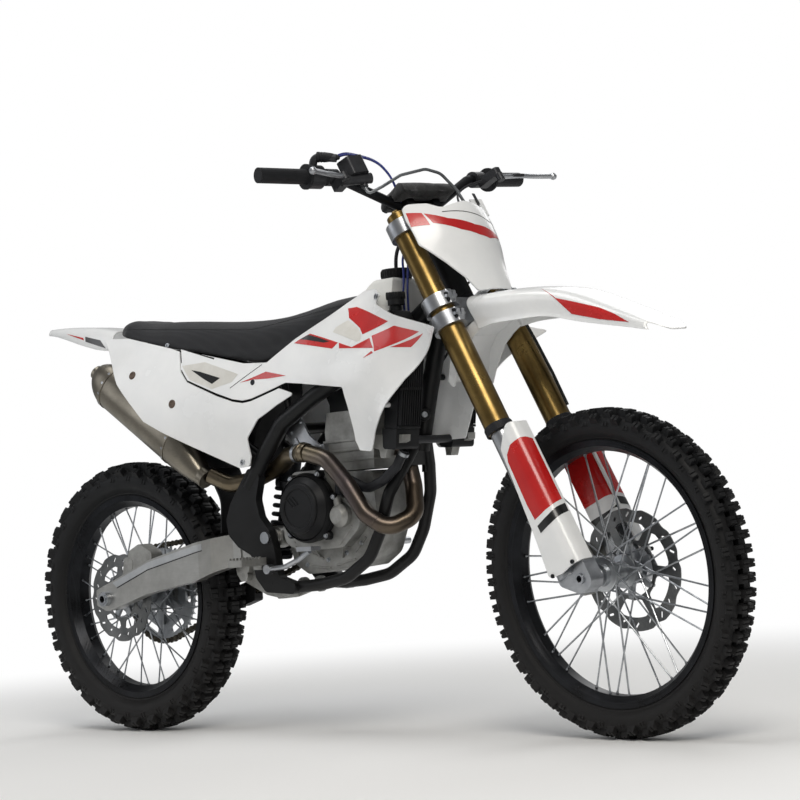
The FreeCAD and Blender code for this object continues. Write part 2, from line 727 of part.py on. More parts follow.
def left_controls():
    """Clutch perch with its lever."""
    clamp = sleeve(222, 256, BAR_R + 8, BAR_R)
    level = BAR_Z + 50
    arm = Part.Face(path_wire([V(8, 226, level), V(8, 254, level), V(66, 262, level), V(66, 240, level)],
                              [4, 4, 8, 8], closed=True)).extrude(V(0, 0, 20))
    blade = lever([V(62, 248, BAR_Z + 44), V(74, 300, BAR_Z + 41), V(74, 350, BAR_Z + 38), V(85, 402, BAR_Z + 32)])
    return union([clamp, arm, blade]).cut(tube(BAR_RUN, BAR_R + PIN_CLEARANCE, 55))


def right_controls():
    """Front brake master cylinder, reservoir and lever, and the throttle housing."""
    grip_face = -(BAR_END - GRIP_LENGTH - GRIP_FLANGE - SEAT_GAP)
    clamp = sleeve(-208, -236, BAR_R + 8, BAR_R)
    body = cylinder(V(38, -232, BAR_Z + 44), V(58, -164, BAR_Z + 38), 12)
    bridge = box((4, -232, BAR_Z + 38), (44, -208, BAR_Z + 58))
    low = BAR_Z + 46
    tank = Part.Face(path_wire([V(30, -226, low), V(66, -214, low), V(76, -172, low), V(38, -176, low)],
                               [8, 8, 8, 8], closed=True)).extrude(V(0, 0, 44))
    throttle = sleeve(-250, grip_face, GRIP_R + 9, BAR_R)
    spout = tube([V(-4, -264, BAR_Z + 88), V(20, -262, BAR_Z + 120), V(52, -232, BAR_Z + 94)], 9, 14)
    link = cylinder(bar_point(-232), bar_point(-252), BAR_R + 5)
    banjo = cylinder(V(46, -180, BAR_Z + 38), V(46, -180, BAR_Z + 22), 8)
    blade = lever([V(54, -236, BAR_Z + 44), V(62, -285, BAR_Z + 44), V(76, -325, BAR_Z + 38), V(88, -358, BAR_Z + 33)])
    whole = union([clamp, body, bridge, tank, throttle, spout, link, banjo, blade])
    return whole.cut(tube(BAR_RUN, BAR_R + PIN_CLEARANCE, 55))


def plate_point(y, up):
    """Point on the outer face of the number plate."""
    middle = {645: 106, 675: 112, 755: 118, 820: 131, 890: 131, 945: 126}
    return V(middle[up] - 64 * (y / 130.0) ** 2, y, up)


def number_plate():
    """Curved front number plate, narrow at its foot, with the tongue that seats on the lower clamp."""
    rows = [[plate_point(y, up) for y in (-136, -100, -60, -20, 20, 60, 100, 136)]
            for up in (645, 675, 755, 820, 890, 945)]
    wall = smooth_face(rows).extrude(V(-PANEL_WALL, 0, 0))
    right = [(0, 672, 0), (52, 674, 8), (66, 712, 20), (90, 757, 20), (127, 816, 14), (130, 880, 30), (124, 920, 10),
             (84, 902, 10), (62, 880, 20), (0, 890, 0)]
    left = [(-y, up, r) for y, up, r in reversed(right[1:-1])]
    corners = [V(0, -y, up) for y, up, _ in right + left]
    face = Part.Face(path_wire(corners, [r for _, _, r in right + left], closed=True))
    shield = wall.common(face.extrude(V(200, 0, 0)))
    tab = box((96, 62, 872), (99.5, 100, 916))
    tongue = box((30, -11, 689), (111, 11, 695)).cut(triple_clamps())
    return union([shield, tab.cut(shield), tongue])


def front_fender():
    """Front fender: a crowned channel with deep sides, a floor under the lower clamp and a flap behind it."""
    def section(x, z, half, drop):
        shape = [(-1.0, -1.0), (-1.0, -0.55), (-0.95, -0.2), (-0.8, -0.1), (-0.4, -0.02), (0, 0), (0.4, -0.02),
                 (0.8, -0.1), (0.95, -0.2), (1.0, -0.55), (1.0, -1.0)]
        return spline_section([V(x, half * u, z + drop * v) for u, v in shape], FENDER_WALL)

    stations = [(FENDER_REAR, 683, 64, 84), (100, 665, 68, 77), (160, 635, 75, 75), (204, 611, 76, 73),
                (254, 580, 74, 70), (306, 541, 71, 74), (360, 483, 66, 60), (420, 411, 58, 35), (455, 368, 54, 20),
                (484, 328, 50, 12)]
    shell = Part.makeLoft([section(*station) for station in stations], True, False)
    nose = plan([(-60, -110), (400, -110), (458, -50, 34), (483, -30, 34), (483, 30, 34), (458, 50, 34), (400, 110),
                 (-60, 110)], 200, 800)
    floor_low = LOWER_CLAMP_LOW - 7
    floor_top = floor_low + FENDER_WALL
    floor = box((-2, -62, floor_low), (110, 62, floor_top))
    flap = plate([(0, floor_top), (-36, floor_top - 17, 30), (-82, floor_top - 68), (-79, floor_top - 71),
                  (-36, floor_low - 17, 30), (0, floor_low)], -62, 62)
    lip = plate([(FENDER_REAR + 8, floor_low + 1), (0, floor_low + 1), (-36, floor_low - 16, 30), (-80, floor_top - 69),
                 (-75, 535, 4), (-39, 563, 20), (-11, 578, 20), (13, 590), (47, 597), (FENDER_REAR + 8, 598)], 59, 62.5)
    pads = [box((0, hand * 30 - 12, floor_low), (40, hand * 30 + 12, LOWER_CLAMP_LOW + 8)) for hand in (-1, 1)]
    return union([shell.common(nose), floor, flap] + both_sides(lip) + pads)


def front_caliper():
    """Two-piston caliper behind the left leg, straddling the disc, on a bracket from the lug."""
    gap_low = FRONT_DISC_Y - DISC_THICKNESS / 2 - 1.5
    gap_high = FRONT_DISC_Y + DISC_THICKNESS / 2 + 1.5
    body = plate([(-92, 14, 12), (-56, 108, 14), (-22, 114, 12), (-18, 30, 12), (-50, 2, 12)],
                 gap_low - 14, gap_high + 22)
    slot = barrel_y(AXLE_A, 0, gap_low, gap_high, FRONT_DISC_R + 5)
    bracket = plate([(-46, 40, 6), (-30, 92, 6), (FORK_A - 8, 100, 6), (FORK_A - 8, 40, 6)],
                    LUG_INNER + 4, LUG_INNER + 14)
    return union([body, bracket]).cut(slot).cut(Part.makeCompound(fork_legs()))


def brake_hose():
    """Front brake hose from the master cylinder over the plate and down the left leg."""
    run = [V(46, -180, 984), V(46, -180, 966), V(66, -150, 972), V(76, -90, 996), V(90, -20, 1004), V(91, 20, 992),
           V(87, 50, 950), V(84, 60, 915), V(74, 64, 860), V(69, 68, 780), V(68, 77, 705), V(70, 80, 630),
           V(66, 92, 560), V(62, 100, 480), V(60, 100, 400)]
    return tube(run, 3.5, [0, 8, 20, 40, 40, 30, 40, 60, 60, 40, 40, 40, 40, 40, 0])


# Chassis

def head_tube():
    """Steering head round the stem."""
    low = LOWER_CLAMP_HIGH + HEAD_GAP
    high = UPPER_CLAMP_LOW - HEAD_GAP
    return cylinder(V(0, 0, low), V(0, 0, high), HEAD_TUBE_R)


def in_chassis(shape):
    """Lean a piece built along the steering axis, without turning it."""
    copy = shape.copy()
    copy.rotate(V(0, 0, 0), V(0, 1, 0), -RAKE)
    copy.translate(STEER_FOOT)
    return copy


SPAR_RUN = [at_head(-17, 749, -18), at_head(-106, 732, -34), V(900, -70, 860), V(735, -92, 781), V(630, -95, 728),
            V(560, -92, 655), V(505, -91, 585)]
CRADLE_RUN = [V(972, -12, 668), V(950, -44, 606), V(924, -72, 545), V(893, -75, 462), V(856, -75, 404),
              V(780, -75, 362), V(700, -75, 350), V(620, -80, 346), V(566, -91, 360)]
DOWNTUBE_RUN = [at_head(0, 774), V(1004, 0, 770), V(966, 0, 640)]


def main_frame():
    """Steel frame: head, two spars, one downtube that splits into two cradle rails, pivot plates."""
    head = in_chassis(head_tube())
    spar = tube(SPAR_RUN, SPAR_R, [0, 60, 120, 160, 60, 80, 0])
    cradle = tube(CRADLE_RUN, CRADLE_R, [0, 60, 60, 90, 70, 90, 120, 60, 0])
    pivot_plate = plate([(482, 592, 10), (449, 552, 18), (430, 512, 20), (436, 475, 20), (465, 447, 14),
                         (508, 425, 14), (518, 372, 20), (548, 338, 14), (640, 331, 10), (646, 356, 8),
                         (592, 374, 16), (584, 440, 16), (570, 483, 20), (543, 515, 24), (534, 556, 24),
                         (552, 612, 14), (516, 632, 12)], -PLATE_OUTER, -PLATE_INNER)
    down = tube(DOWNTUBE_RUN, DOWNTUBE_R, [0, 150, 0])
    cross_low = barrel_y(CROSS_X, CROSS_Z, -84, 84, CROSS_R)
    cross_top = cylinder(V(600, -93, 716), V(600, 93, 716), 13)
    pieces = [head, down, cross_low, cross_top]
    pieces += both_sides(spar) + both_sides(cradle) + both_sides(pivot_plate)
    whole = union(pieces)
    stem_way = in_chassis(cylinder(V(0, 0, 600), V(0, 0, 940), STEM_R + PIN_CLEARANCE))
    swing_pin = barrel_y(PIVOT_X, PIVOT_Z, -120, 120, PIVOT_R + PIN_CLEARANCE)
    return whole.cut(stem_way).cut(swing_pin)


def subframe():
    """Seat rails and lower stays behind the frame."""
    rail = tube([V(610, -64, 850), V(386, -66, 884), V(233, -70, 922), V(60, -66, RAIL_END_Z)], SUBFRAME_R, 150)
    stay = tube([V(520, -62, 660), V(400, -62, 740), V(236, -68, 906)], SUBFRAME_R, 80)
    cross = cylinder(V(300, -68, 902), V(300, 68, 902), 8)
    foot = cylinder(V(520, -62, 660), V(560, -78, 690), SUBFRAME_R)
    drop = cylinder(V(610, -64, 850), V(640, -80, 748), SUBFRAME_R)
    hanger = plate([(150, 938), (174, 934), (168, 822), (142, 834)], -72, -66).cut(silencer())
    whole = union(both_sides(rail) + both_sides(stay) + both_sides(foot) + both_sides(drop) + [cross, hanger])
    spar = tube(SPAR_RUN, SPAR_R, [0, 60, 120, 160, 60, 80, 0])
    return whole.cut(Part.makeCompound(both_sides(spar)))


def swingarm():
    """Box-section arms, the bridge between them, the pivot tube and the linkage boss."""
    outline = [(-44, 322, 6), (0, 306, 30), (150, 346), (330, 373), (384, 392), (446, 412), (540, 438),
               (PIVOT_X, PIVOT_Z - PIVOT_BOSS_R + 2), (PIVOT_X, PIVOT_Z + PIVOT_BOSS_R - 2), (540, 490),
               (446, 482), (326, 463), (158, 428), (14, 378, 20), (-44, 360, 6)]
    side = plate(outline, -ARM_OUTER, -ARM_FRONT_INNER)
    above = plan([(-50, -ARM_OUTER + 5), (-10, -ARM_OUTER), (340, -ARM_OUTER), (376, -ARM_OUTER + 8),
                  (424, -ARM_FRONT_OUTER), (PIVOT_X, -ARM_FRONT_OUTER), (PIVOT_X, -ARM_FRONT_INNER),
                  (420, -ARM_FRONT_INNER), (354, -ARM_INNER), (-50, -ARM_INNER)], 280, 500)
    arm = side.common(above)
    boss = barrel_y(PIVOT_X, PIVOT_Z, -ARM_FRONT_OUTER, -ARM_FRONT_INNER, PIVOT_BOSS_R)
    rear = REAR.knob_radius + TYRE_ROOM
    bridge = plate([(rear, 398, 8), (rear, 462, 8), (446, 478), (446, 416)], -78, 78)
    shock_way = box((446, -37, 380), (540, 37, 500))
    link_boss = barrel_y(LINK_X, LINK_Z, -LINK_PIN_HALF, LINK_PIN_HALF, 15)
    link_web = plate([(386, 408), (440, 420), (432, 388), (404, 366), (392, 380)], -LINK_PIN_HALF, LINK_PIN_HALF)
    slot_half = LINK_HALF + 1
    link_slot = box((380, -slot_half, 350), (446, slot_half, 399))
    collar = barrel_y(PIVOT_X, PIVOT_Z, -PLATE_INNER + SEAT_GAP, -ARM_FRONT_OUTER, 19)
    whole = union(both_sides(arm) + both_sides(boss) + both_sides(collar) + [bridge, link_boss, link_web])
    pins = [barrel_y(PIVOT_X, PIVOT_Z, -130, 130, PIVOT_R + PIN_CLEARANCE),
            barrel_y(0, REAR_AXLE.z, -130, 130, REAR_AXLE_R + PIN_CLEARANCE),
            barrel_y(LINK_X, LINK_Z, -60, 60, LINK_PIN_R + PIN_CLEARANCE)]
    return whole.cut(Part.makeCompound(pins + [link_slot, shock_way]))


def swingarm_pin():
    """Pivot bolt of the swingarm."""
    bar = barrel_y(PIVOT_X, PIVOT_Z, -PLATE_OUTER - 4, PLATE_OUTER + 4, PIVOT_R)
    heads = [barrel_y(PIVOT_X, PIVOT_Z, -PLATE_OUTER - 6, -PLATE_OUTER, 14),
             barrel_y(PIVOT_X, PIVOT_Z, PLATE_OUTER, PLATE_OUTER + 6, 14)]
    return union([bar] + heads)


def rear_axle():
    """Hollow rear axle with its head, nut and chain adjuster blocks."""
    bar = barrel_y(0, REAR_AXLE.z, -REAR_AXLE_END, REAR_AXLE_END, REAR_AXLE_R)
    nut = barrel_y(0, REAR_AXLE.z, ARM_OUTER, REAR_AXLE_END - 3, AXLE_NUT_R)
    head = barrel_y(0, REAR_AXLE.z, -REAR_AXLE_END + 3, -ARM_OUTER, AXLE_NUT_R)
    bore = barrel_y(0, REAR_AXLE.z, -REAR_AXLE_END - 1, REAR_AXLE_END + 1, REAR_AXLE_BORE)
    return union([bar, nut, head]).cut(bore)


def linkage():
    """Rocker under the swingarm and the pull rods to the frame."""
    rocker = plate([(398, 392, 8), (424, 396, 8), (490, 366, 12), (536, 340, 12), (530, 316, 12), (470, 328, 10),
                    (396, 362, 10)], -LINK_HALF, LINK_HALF)
    pin = barrel_y(LINK_X, LINK_Z, -LINK_PIN_HALF, LINK_PIN_HALF, LINK_PIN_R)
    shock_pin = barrel_y(SHOCK_X, SHOCK_Z, -LINK_HALF, LINK_HALF, LINK_PIN_R)
    way = plate([(440, 300), (440, 420), (512, 420), (498, 300)], -15, 15)
    rod = plate([(512, 316, 8), (512, 340, 8), (590, 360, 4), (590, 336, 4)], -LINK_HALF - 10, -LINK_HALF)
    rod_pin = barrel_y(524, 328, -LINK_HALF - 10, LINK_HALF + 10, LINK_PIN_R)
    eye = barrel_y(CROSS_X, CROSS_Z, -LINK_HALF - 10, -LINK_HALF, 19)
    rest = barrel_y(CROSS_X, CROSS_Z, -60, 60, CROSS_R + PIN_CLEARANCE)
    whole = union([rocker.cut(way), pin, shock_pin, rod_pin] + both_sides(rod) + both_sides(eye))
    return whole.cut(rest)


def shock():
    """Shock absorber: body, coil and eyes."""
    foot = V(SHOCK_X, 0, SHOCK_Z)
    axis = (V(576, 0, 712) - foot).normalize()
    rod = cylinder(foot + axis * 10, foot + axis * 90, 9)
    spring = cylinder(foot + axis * 72, foot + axis * 250, 32)
    body = cylinder(foot + axis * 240, foot + axis * 344, 25)
    eye = barrel_y(foot.x, foot.z, -14, 14, 14)
    whole = union([rod, spring, body, eye])
    top = barrel_y(600, 716, -60, 60, 13 + SEAT_GAP)
    return whole.cut(Part.makeCompound([barrel_y(foot.x, foot.z, -20, 20, LINK_PIN_R + PIN_CLEARANCE), top]))


def chain_path():
    """Centre line of the chain as (x, z) points one pitch or one waist apart."""
    rear_radius = CHAIN_PITCH / (2 * math.sin(math.pi / REAR_TEETH))
    front_radius = CHAIN_PITCH / (2 * math.sin(math.pi / FRONT_TEETH))
    rear = V(0, 0, REAR_AXLE.z)
    front = V(FRONT_SPROCKET_X, 0, FRONT_SPROCKET_Z)
    between = front - rear
    tilt = math.atan2(between.z, between.x)
    spread = math.asin((rear_radius - front_radius) / between.Length)
    return rear, front, rear_radius, front_radius, tilt, spread


def chain_loop(offset):
    """Racetrack wire round both sprockets at an offset from the pitch line."""
    rear, front, rear_radius, front_radius, tilt, spread = chain_path()
    top = tilt + math.pi / 2 + spread
    low = tilt - math.pi / 2 - spread

    def on(centre, radius, angle):
        return V(centre.x + radius * math.cos(angle), 0, centre.z + radius * math.sin(angle))

    r1 = rear_radius + offset
    r2 = front_radius + offset
    edges = [Part.LineSegment(on(rear, r1, top), on(front, r2, top)).toShape(),
             Part.Arc(on(front, r2, top), on(front, r2, tilt), on(front, r2, low)).toShape(),
             Part.LineSegment(on(front, r2, low), on(rear, r1, low)).toShape(),
             Part.Arc(on(rear, r1, low), on(rear, r1, tilt + math.pi), on(rear, r1, top)).toShape()]
    return Part.Wire(edges)


def chain():
    """Chain as one closed loop, open round the teeth of both sprockets."""
    outer = Part.Face(chain_loop(CHAIN_HEIGHT / 2))
    inner = Part.Face(chain_loop(-CHAIN_HEIGHT / 2))
    band = outer.cut(inner).Faces[0]
    band.translate(V(0, CHAIN_Y - CHAIN_WIDTH / 2, 0))
    loop = band.extrude(V(0, CHAIN_WIDTH, 0))
    rear, front, rear_radius, front_radius, _, _ = chain_path()
    slot_half = SPROCKET_WIDTH / 2 + 0.8
    ways = [barrel_y(rear.x, rear.z, CHAIN_Y - slot_half, CHAIN_Y + slot_half, rear_radius + 6),
            barrel_y(front.x, front.z, CHAIN_Y - slot_half, CHAIN_Y + slot_half, front_radius + 6)]
    return loop.cut(Part.makeCompound(ways))


def front_sprocket():
    """Front sprocket on the gearbox shaft."""
    teeth = plate(tooth_outline(FRONT_TEETH), CHAIN_Y - SPROCKET_WIDTH / 2, CHAIN_Y + SPROCKET_WIDTH / 2)
    shaft = barrel_y(0, 0, CASE_HALF, CHAIN_Y + 10, 14)
    whole = union([teeth, shaft])
    return moved(whole, V(FRONT_SPROCKET_X, 0, FRONT_SPROCKET_Z))


def crankcase():
    """Crankcase halves with the clutch-side case."""
    halves = plate([(596, 440, 20), (600, 560, 30), (650, 600, 20), (735, 606, 8), (868, 602, 16), (874, 500, 30),
                    (836, 414, 40), (790, 386, 20), (650, 374, 20), (606, 400, 20)], -CASE_HALF, CASE_HALF)
    side = plate([(606, 450, 30), (608, 570, 30), (650, 612, 24), (742, 612, 20), (770, 548, 16), (840, 540, 20), (850, 480, 40),
                  (790, 432, 24), (650, 430, 20)], -CASE_SIDE, -CASE_HALF)
    return union([halves, side])


def clutch_cover():
    """Round clutch cover with a stepped dome."""
    face = -CASE_SIDE
    crown = face - CLUTCH_DEPTH
    cover = revolve_y([(0, face), (CLUTCH_R, face), (CLUTCH_R, face - 12), (CLUTCH_R - 7, crown + 16),
                       (CLUTCH_R - 20, crown + 4), (CLUTCH_R - 26, crown), (0, crown)])
    return moved(cover, V(CLUTCH_X, 0, CLUTCH_Z))


def ignition_cover():
    """Generator cover on the left."""
    cover = revolve_y([(0, CASE_HALF), (66, CASE_HALF), (66, 76), (56, 92), (0, 96)])
    return moved(cover, V(776, 0, 500))


def cylinder_block():
    """Cylinder and head casting, leaning a little forward."""
    barrel = plate([(728, 606), (726, 700, 8), (736, 742), (862, 742), (876, 690, 10), (872, 606)], -56, 56)
    port = cylinder(V(860, 0, 664), V(896, 0, 650), 26)
    rib = [box((722, -60, z), (876, 60, z + 5)) for z in (628, 650, 672)]
    return union([barrel, port] + rib)


def engine_mount():
    """Head stay plates between the cylinder and the frame."""
    stay = plate([(664, 742, 8), (690, 694, 10), (728, 664, 6), (700, 654, 10), (654, 658, 10), (616, 706, 10)],
                 -72, -66)
    foot = box((716, -70, 656), (734, -56, 671))
    return both_sides(union([stay, foot]).cut(cylinder_block()))


def head_cover():
    """Black cam cover on the head."""
    return plate([(740, 742), (742, 784, 14), (800, 800, 30), (852, 784, 14), (858, 742)], -50, 50)


def water_pump():
    """Water pump housing low at the front right, its outlet up and its inlet forward."""
    face = -CASE_SIDE
    body = revolve_y([(0, face), (27, face), (27, face - 14), (18, face - 26), (0, face - 26)])
    outlet = tube([V(0, face - 13, 8), V(-8, face - 8, 34), V(-10, face + 3, 44)], 9.5, 12)
    return moved(union([body, outlet]), V(PUMP_X, 0, PUMP_Z)).cut(clutch_cover()).cut(crankcase())


def radiators():
    """Both radiators beside the downtube: slatted core between a top tank and a bottom tank."""
    outer = -RADIATOR_OUTER
    inner = -RADIATOR_INNER
    core = plate([(978, 690), (1014, 684), (1040, 862), (1004, 868)], outer + 2, inner - 2)
    slats = []
    count = 9
    pitch = (RADIATOR_OUTER - RADIATOR_INNER - 12) / count
    for i in range(count):
        low = outer + 6 + pitch * (i + 0.3)
        slats.append(plate([(1000, 694), (1030, 694), (1052, 852), (1020, 852)], low, low + pitch * 0.55))
    groove = [slat.common(plate([(1008, 690), (1030, 690), (1056, 856), (1034, 856)], outer, inner)) for slat in slats]
    top = plate([(1002, 868), (1042, 862), (1044, 886, 8), (1012, 948, 8), (988, 948, 8), (1002, 890, 8)],
                outer + 20, inner)
    low = plate([(974, 690), (1016, 684), (1010, 640, 8), (972, 644, 8)], outer, inner)
    whole = union([core.cut(Part.makeCompound(groove)), top, low])
    right = union([whole, cylinder(V(FILLER_X, FILLER_Y, 940), V(FILLER_X, FILLER_Y, 972), FILLER_R - 6),
                   cylinder(V(FILLER_X, FILLER_Y, 972), V(FILLER_X, FILLER_Y, 986), FILLER_R)])
    lug = cylinder(V(1000, inner - 4, 800), V(1000, -12, 800), 7).cut(tube(DOWNTUBE_RUN, DOWNTUBE_R, [0, 150, 0]))
    right = union([right, lug])
    left = union([whole, lug]).mirror(V(0, 0, 0), V(0, 1, 0))
    return [right, left]


def coolant_hoses():
    """Lower hose to the pump, and the one across between the radiators."""
    x = PUMP_X - 10
    z = PUMP_Z + 44
    lower = tube([V(990, -84, 640), V(966, -86, 604), V(926, -91, 575), V(868, -80, 560), V(x, -CASE_SIDE + 6, z + 49),
                  V(x, -CASE_SIDE + 3, z)], 11, [0, 24, 40, 50, 22, 0])
    across = cylinder(V(1004, -RADIATOR_INNER, 661), V(1004, RADIATOR_INNER, 661), 9)
    stops = Part.makeCompound(radiators() + [water_pump()])
    return [lower.cut(stops), across.cut(stops)]


HEADER_RUN = [V(898, 0, 650), V(920, 0, 641), V(944, -8, 560), V(972, -40, 494), V(938, -98, 468),
              V(890, -116, 504), V(840, -116, 574), V(782, -115, 634), V(712, -112, 654), V(640, -88, 652),
              V(566, -50, 628), V(486, -50, 604), V(420, -70, 596), V(372, -90, 622)]


def exhaust_header():
    """Header pipe with its low loop ahead of the engine."""
    return tube(HEADER_RUN, HEADER_R, [0, 24, 50, 42, 42, 55, 70, 60, 70, 80, 80, 80, 50, 0])


def oval(along, drop, half_width, half_height):
    """Elliptical section of the silencer at a place along its axis."""
    axis = V(-0.819, 0, 0.574).normalize()
    up = V(0.574, 0, 0.819).normalize()
    centre = V(SILENCER_X, SILENCER_Y, SILENCER_Z) + axis * along + up * drop
    ellipse = Part.Ellipse(V(0, 0, 0), half_height, half_width)
    wire = Part.Wire(ellipse.toShape())
    wire.Placement = FreeCAD.Placement(centre, FreeCAD.Rotation(up, V(0, 1, 0), axis, "XZY"))
    return wire


def silencer():
    """Silencer: inlet cone, oval body with its bands, rounded end cap and outlet."""
    wide = SILENCER_HALF_WIDTH
    tall = SILENCER_HALF_HEIGHT
    inlet = Part.makeLoft([oval(-132, -22, 24, 24), oval(-112, -22, 24, 24.1)], True, True)
    cone = Part.makeLoft([oval(-112, -22, 24, 24.1), oval(-56, -12, 36, 42), oval(0, 0, wide, tall)], True, False)
    body = Part.makeLoft([oval(0, 0, wide, tall), oval(256, 0, wide, tall)], True, True)
    bands = [Part.makeLoft([oval(at, 0, wide + 1.5, tall + 1.5), oval(at + 12, 0, wide + 1.5, tall + 1.5)], True, True)
             for at in (0, 244)]
    cap = Part.makeLoft([oval(256, 0, wide - 1, tall - 1), oval(282, 1, wide - 5, tall - 8), oval(304, 3, 28, 34)],
                        True, False)
    outlet = Part.makeLoft([oval(300, 3, 19, 19.1), oval(322, 3, 19, 19.1)], True, True)
    bore = Part.makeLoft([oval(276, 3, 16, 16.1), oval(330, 3, 16, 16.1)], True, True)
    return union([inlet, cone, body, cap, outlet] + bands).cut(bore).cut(exhaust_header())


def fuel_tank():
    """Tank between the shrouds, shaped round the frame."""
    body = plate([(800, 862), (850, 960, 10), (884, 1004, 20), (906, TANK_TOP, 10), (962, TANK_TOP, 12),
                  (984, 950, 10), (994, 880, 12), (900, 872, 20)], -84, 84)
    across = Part.Face(path_wire([V(780, -84, 850), V(780, 84, 850), V(780, 84, 930), V(780, 70, 990),
                                  V(780, 50, TANK_TOP), V(780, -50, TANK_TOP), V(780, -70, 990), V(780, -84, 930)],
                                 [0, 0, 30, 30, 20, 20, 30, 30], closed=True)).extrude(V(240, 0, 0))
    spar = tube(SPAR_RUN, SPAR_R + SEAT_GAP, [0, 60, 120, 160, 60, 80, 0])
    filler_room = cylinder(V(FILLER_X, FILLER_Y, 930), V(FILLER_X, FILLER_Y, 1000), FILLER_R + 3)
    return body.common(across).cut(seat()).cut(Part.makeCompound(both_sides(spar))).cut(filler_room)


def tank_cap():
    """Round filler cap."""
    return cylinder(V(930, 0, TANK_TOP), V(930, 0, TANK_TOP + CAP_HEIGHT), CAP_R)


def seat():
    """Long saddle: a padded top that narrows to the tank, on a flat base."""
    def section(x, top, low, half):
        rise = top - low
        line = [V(x, -half, low), V(x, -half - 2, low + rise * 0.5), V(x, -half * 0.86, low + rise * 0.88),
                V(x, -half * 0.45, top - 1), V(x, 0, top), V(x, half * 0.45, top - 1),
                V(x, half * 0.86, low + rise * 0.88), V(x, half + 2, low + rise * 0.5), V(x, half, low)]
        curve = Part.BSplineCurve()
        curve.interpolate(line)
        return Part.Wire([curve.toShape(), Part.LineSegment(line[-1], line[0]).toShape()])

    stations = [(44, 1012, 988, 74), (58, 1022, 984, 84), (130, 1016, 965, 90), (233, 1007, 941, 90),
                (386, 991, 909, 86), (520, 979, 879, 80), (620, 979, 873, 74), (700, 989, 881, 68),
                (790, 1003, 905, 60), (838, 1008, 950, 52)]
    return Part.makeLoft([section(*station) for station in stations], True, False)


def body_side():
    """Curved upright wall that the right shroud and side panel are both cut from."""
    stations = [10, 150, 300, 450, 620, 800, 960, 1200]
    heights = [1016, 930, 850, 770, 610]
    widths = [[-100, -98, -96, -90, -84, -82, -92, -146], [-120, -116, -108, -100, -98, -102, -124, -190],
              [-148, -146, -132, -118, -114, -136, -154, -204], [-152, -152, -146, -130, -122, -142, -160, -204],
              [-150, -150, -142, -126, -122, -140, -156, -198]]
    rows = [[(x, y, z) for x, y in zip(stations, row)] for z, row in zip(heights, widths)]
    return smooth_face(rows).extrude(V(0, PANEL_WALL, 0))


def shrouds():
    """Radiator shrouds, flared at the front, with a tail under the seat."""
    outline = plate([(284, 941, 2), (316, 931, 4), (331, 877), (352, 853), (448, 813), (498, 795), (530, 789),
                     (556, 791), (651, 813), (673, 818, 20), (729, 811), (884, 789, 6), (890, 748), (892, 668),
                     (905, 646, 8), (948, 641, 8), (968, 683), (1011, 739), (1060, 790), (1119, 834), (1198, 888, 3),
                     (1044, 934), (950, 968, 6), (962, 988, 6), (940, 1004, 6), (905, 1004, 6), (848, 983),
                     (779, 952), (699, 918), (606, 871), (527, 877), (386, 912)], -220, -60)
    skin = body_side().common(outline)
    post = cylinder(V(996, 2 - RADIATOR_OUTER, 740), V(996, -160, 740), 6)
    stops = Part.makeCompound(radiators() + [cylinder(V(1004, -90, 661), V(1004, -30, 661), 9 + SEAT_GAP)])
    inner = plate([(950, 658), (1052, 658, 8), (1085, 734, 12), (1013, 876, 4)], -RADIATOR_INNER,
                  PANEL_WALL - RADIATOR_INNER).cut(stops)
    return both_sides(union([skin, post])) + [both_sides(inner)[1]]


def side_panels():
    """Rear side panels over the silencer."""
    outline = plate([(28, 986, 4), (85, 911), (117, 865), (213, 765), (272, 735, 20), (382, 687), (508, 632, 10),
                     (540, 634, 10), (548, 656), (540, 699, 12), (576, 741), (641, 769), (704, 790, 4), (651, 807),
                     (556, 785), (530, 783), (498, 789), (446, 807), (349, 849), (326, 875), (311, 926, 4),
                     (280, 937, 2), (120, 978)], -220, -60)
    skin = body_side().common(outline)
    peg = cylinder(V(250, -114, 917), V(250, -70, 917), 6).cut(subframe())
    return both_sides(union([skin, peg]))


def airbox():
    """Airbox, and the inner mudguard that curves round the front of the rear tyre."""
    body = plate([(240, 800, 20), (262, 700, 20), (318, 640, 16), (470, 640, 10), (500, 720, 20),
                  (560, 800, 20), (560, 862, 10), (386, 878), (262, 904, 10)], -52, 52)
    near = REAR.knob_radius + TYRE_ROOM
    flap = plate([(near - 44, 652), (near + 6, 560, 60), (near - 2, 482), (near + 2, 482),
                  (near + 10, 560, 60), (near - 30, 652)], -50, 50)
    shock_room = cylinder(V(SHOCK_X, 0, SHOCK_Z), V(576, 0, 712), 35)
    return union([body, flap]).cut(Part.makeCompound([shock_room] + subframe().Solids))


def rear_fender():
    """Rear fender over the wheel, its front end flat under the seat on the subframe."""
    def section(x, top, low, half):
        drop = top - low
        shape = [(-1.0, -1.0), (-0.98, -0.5), (-0.88, -0.12), (-0.5, 0), (0, 0.02), (0.5, 0), (0.88, -0.12),
                 (0.98, -0.5), (1.0, -1.0)]
        return spline_section([V(x, half * u, top + drop * v) for u, v in shape], FENDER_WALL)

    stations = [(-288, 1037, 1024, 40), (-200, 1032, 1006, 64), (-80, 1020, 972, 86), (30, 1000, 955, 94)]
    shell = Part.makeLoft([section(*station) for station in stations], True, False)
    deck = box((8, -92, RAIL_END_Z + 8), (180, 92, RAIL_END_Z + 12)).cut(seat())
    return union([shell, deck]).cut(subframe())


def footpegs():
    """Toothed footpegs on their hangers."""
    frame = box((520, -194, 402), (566, -120, 418)).cut(box((528, -188, 396), (558, -126, 424)))
    rib = box((540, -190, 402), (546, -124, 418))
    teeth = [box((x, y, 418), (x + 3, y + 5, 423)) for y in range(-190, -124, 11) for x in (521, 562)]
    hanger = box((530, -122, 392), (556, -PLATE_OUTER, 420))
    return both_sides(union([frame, rib, hanger] + teeth))


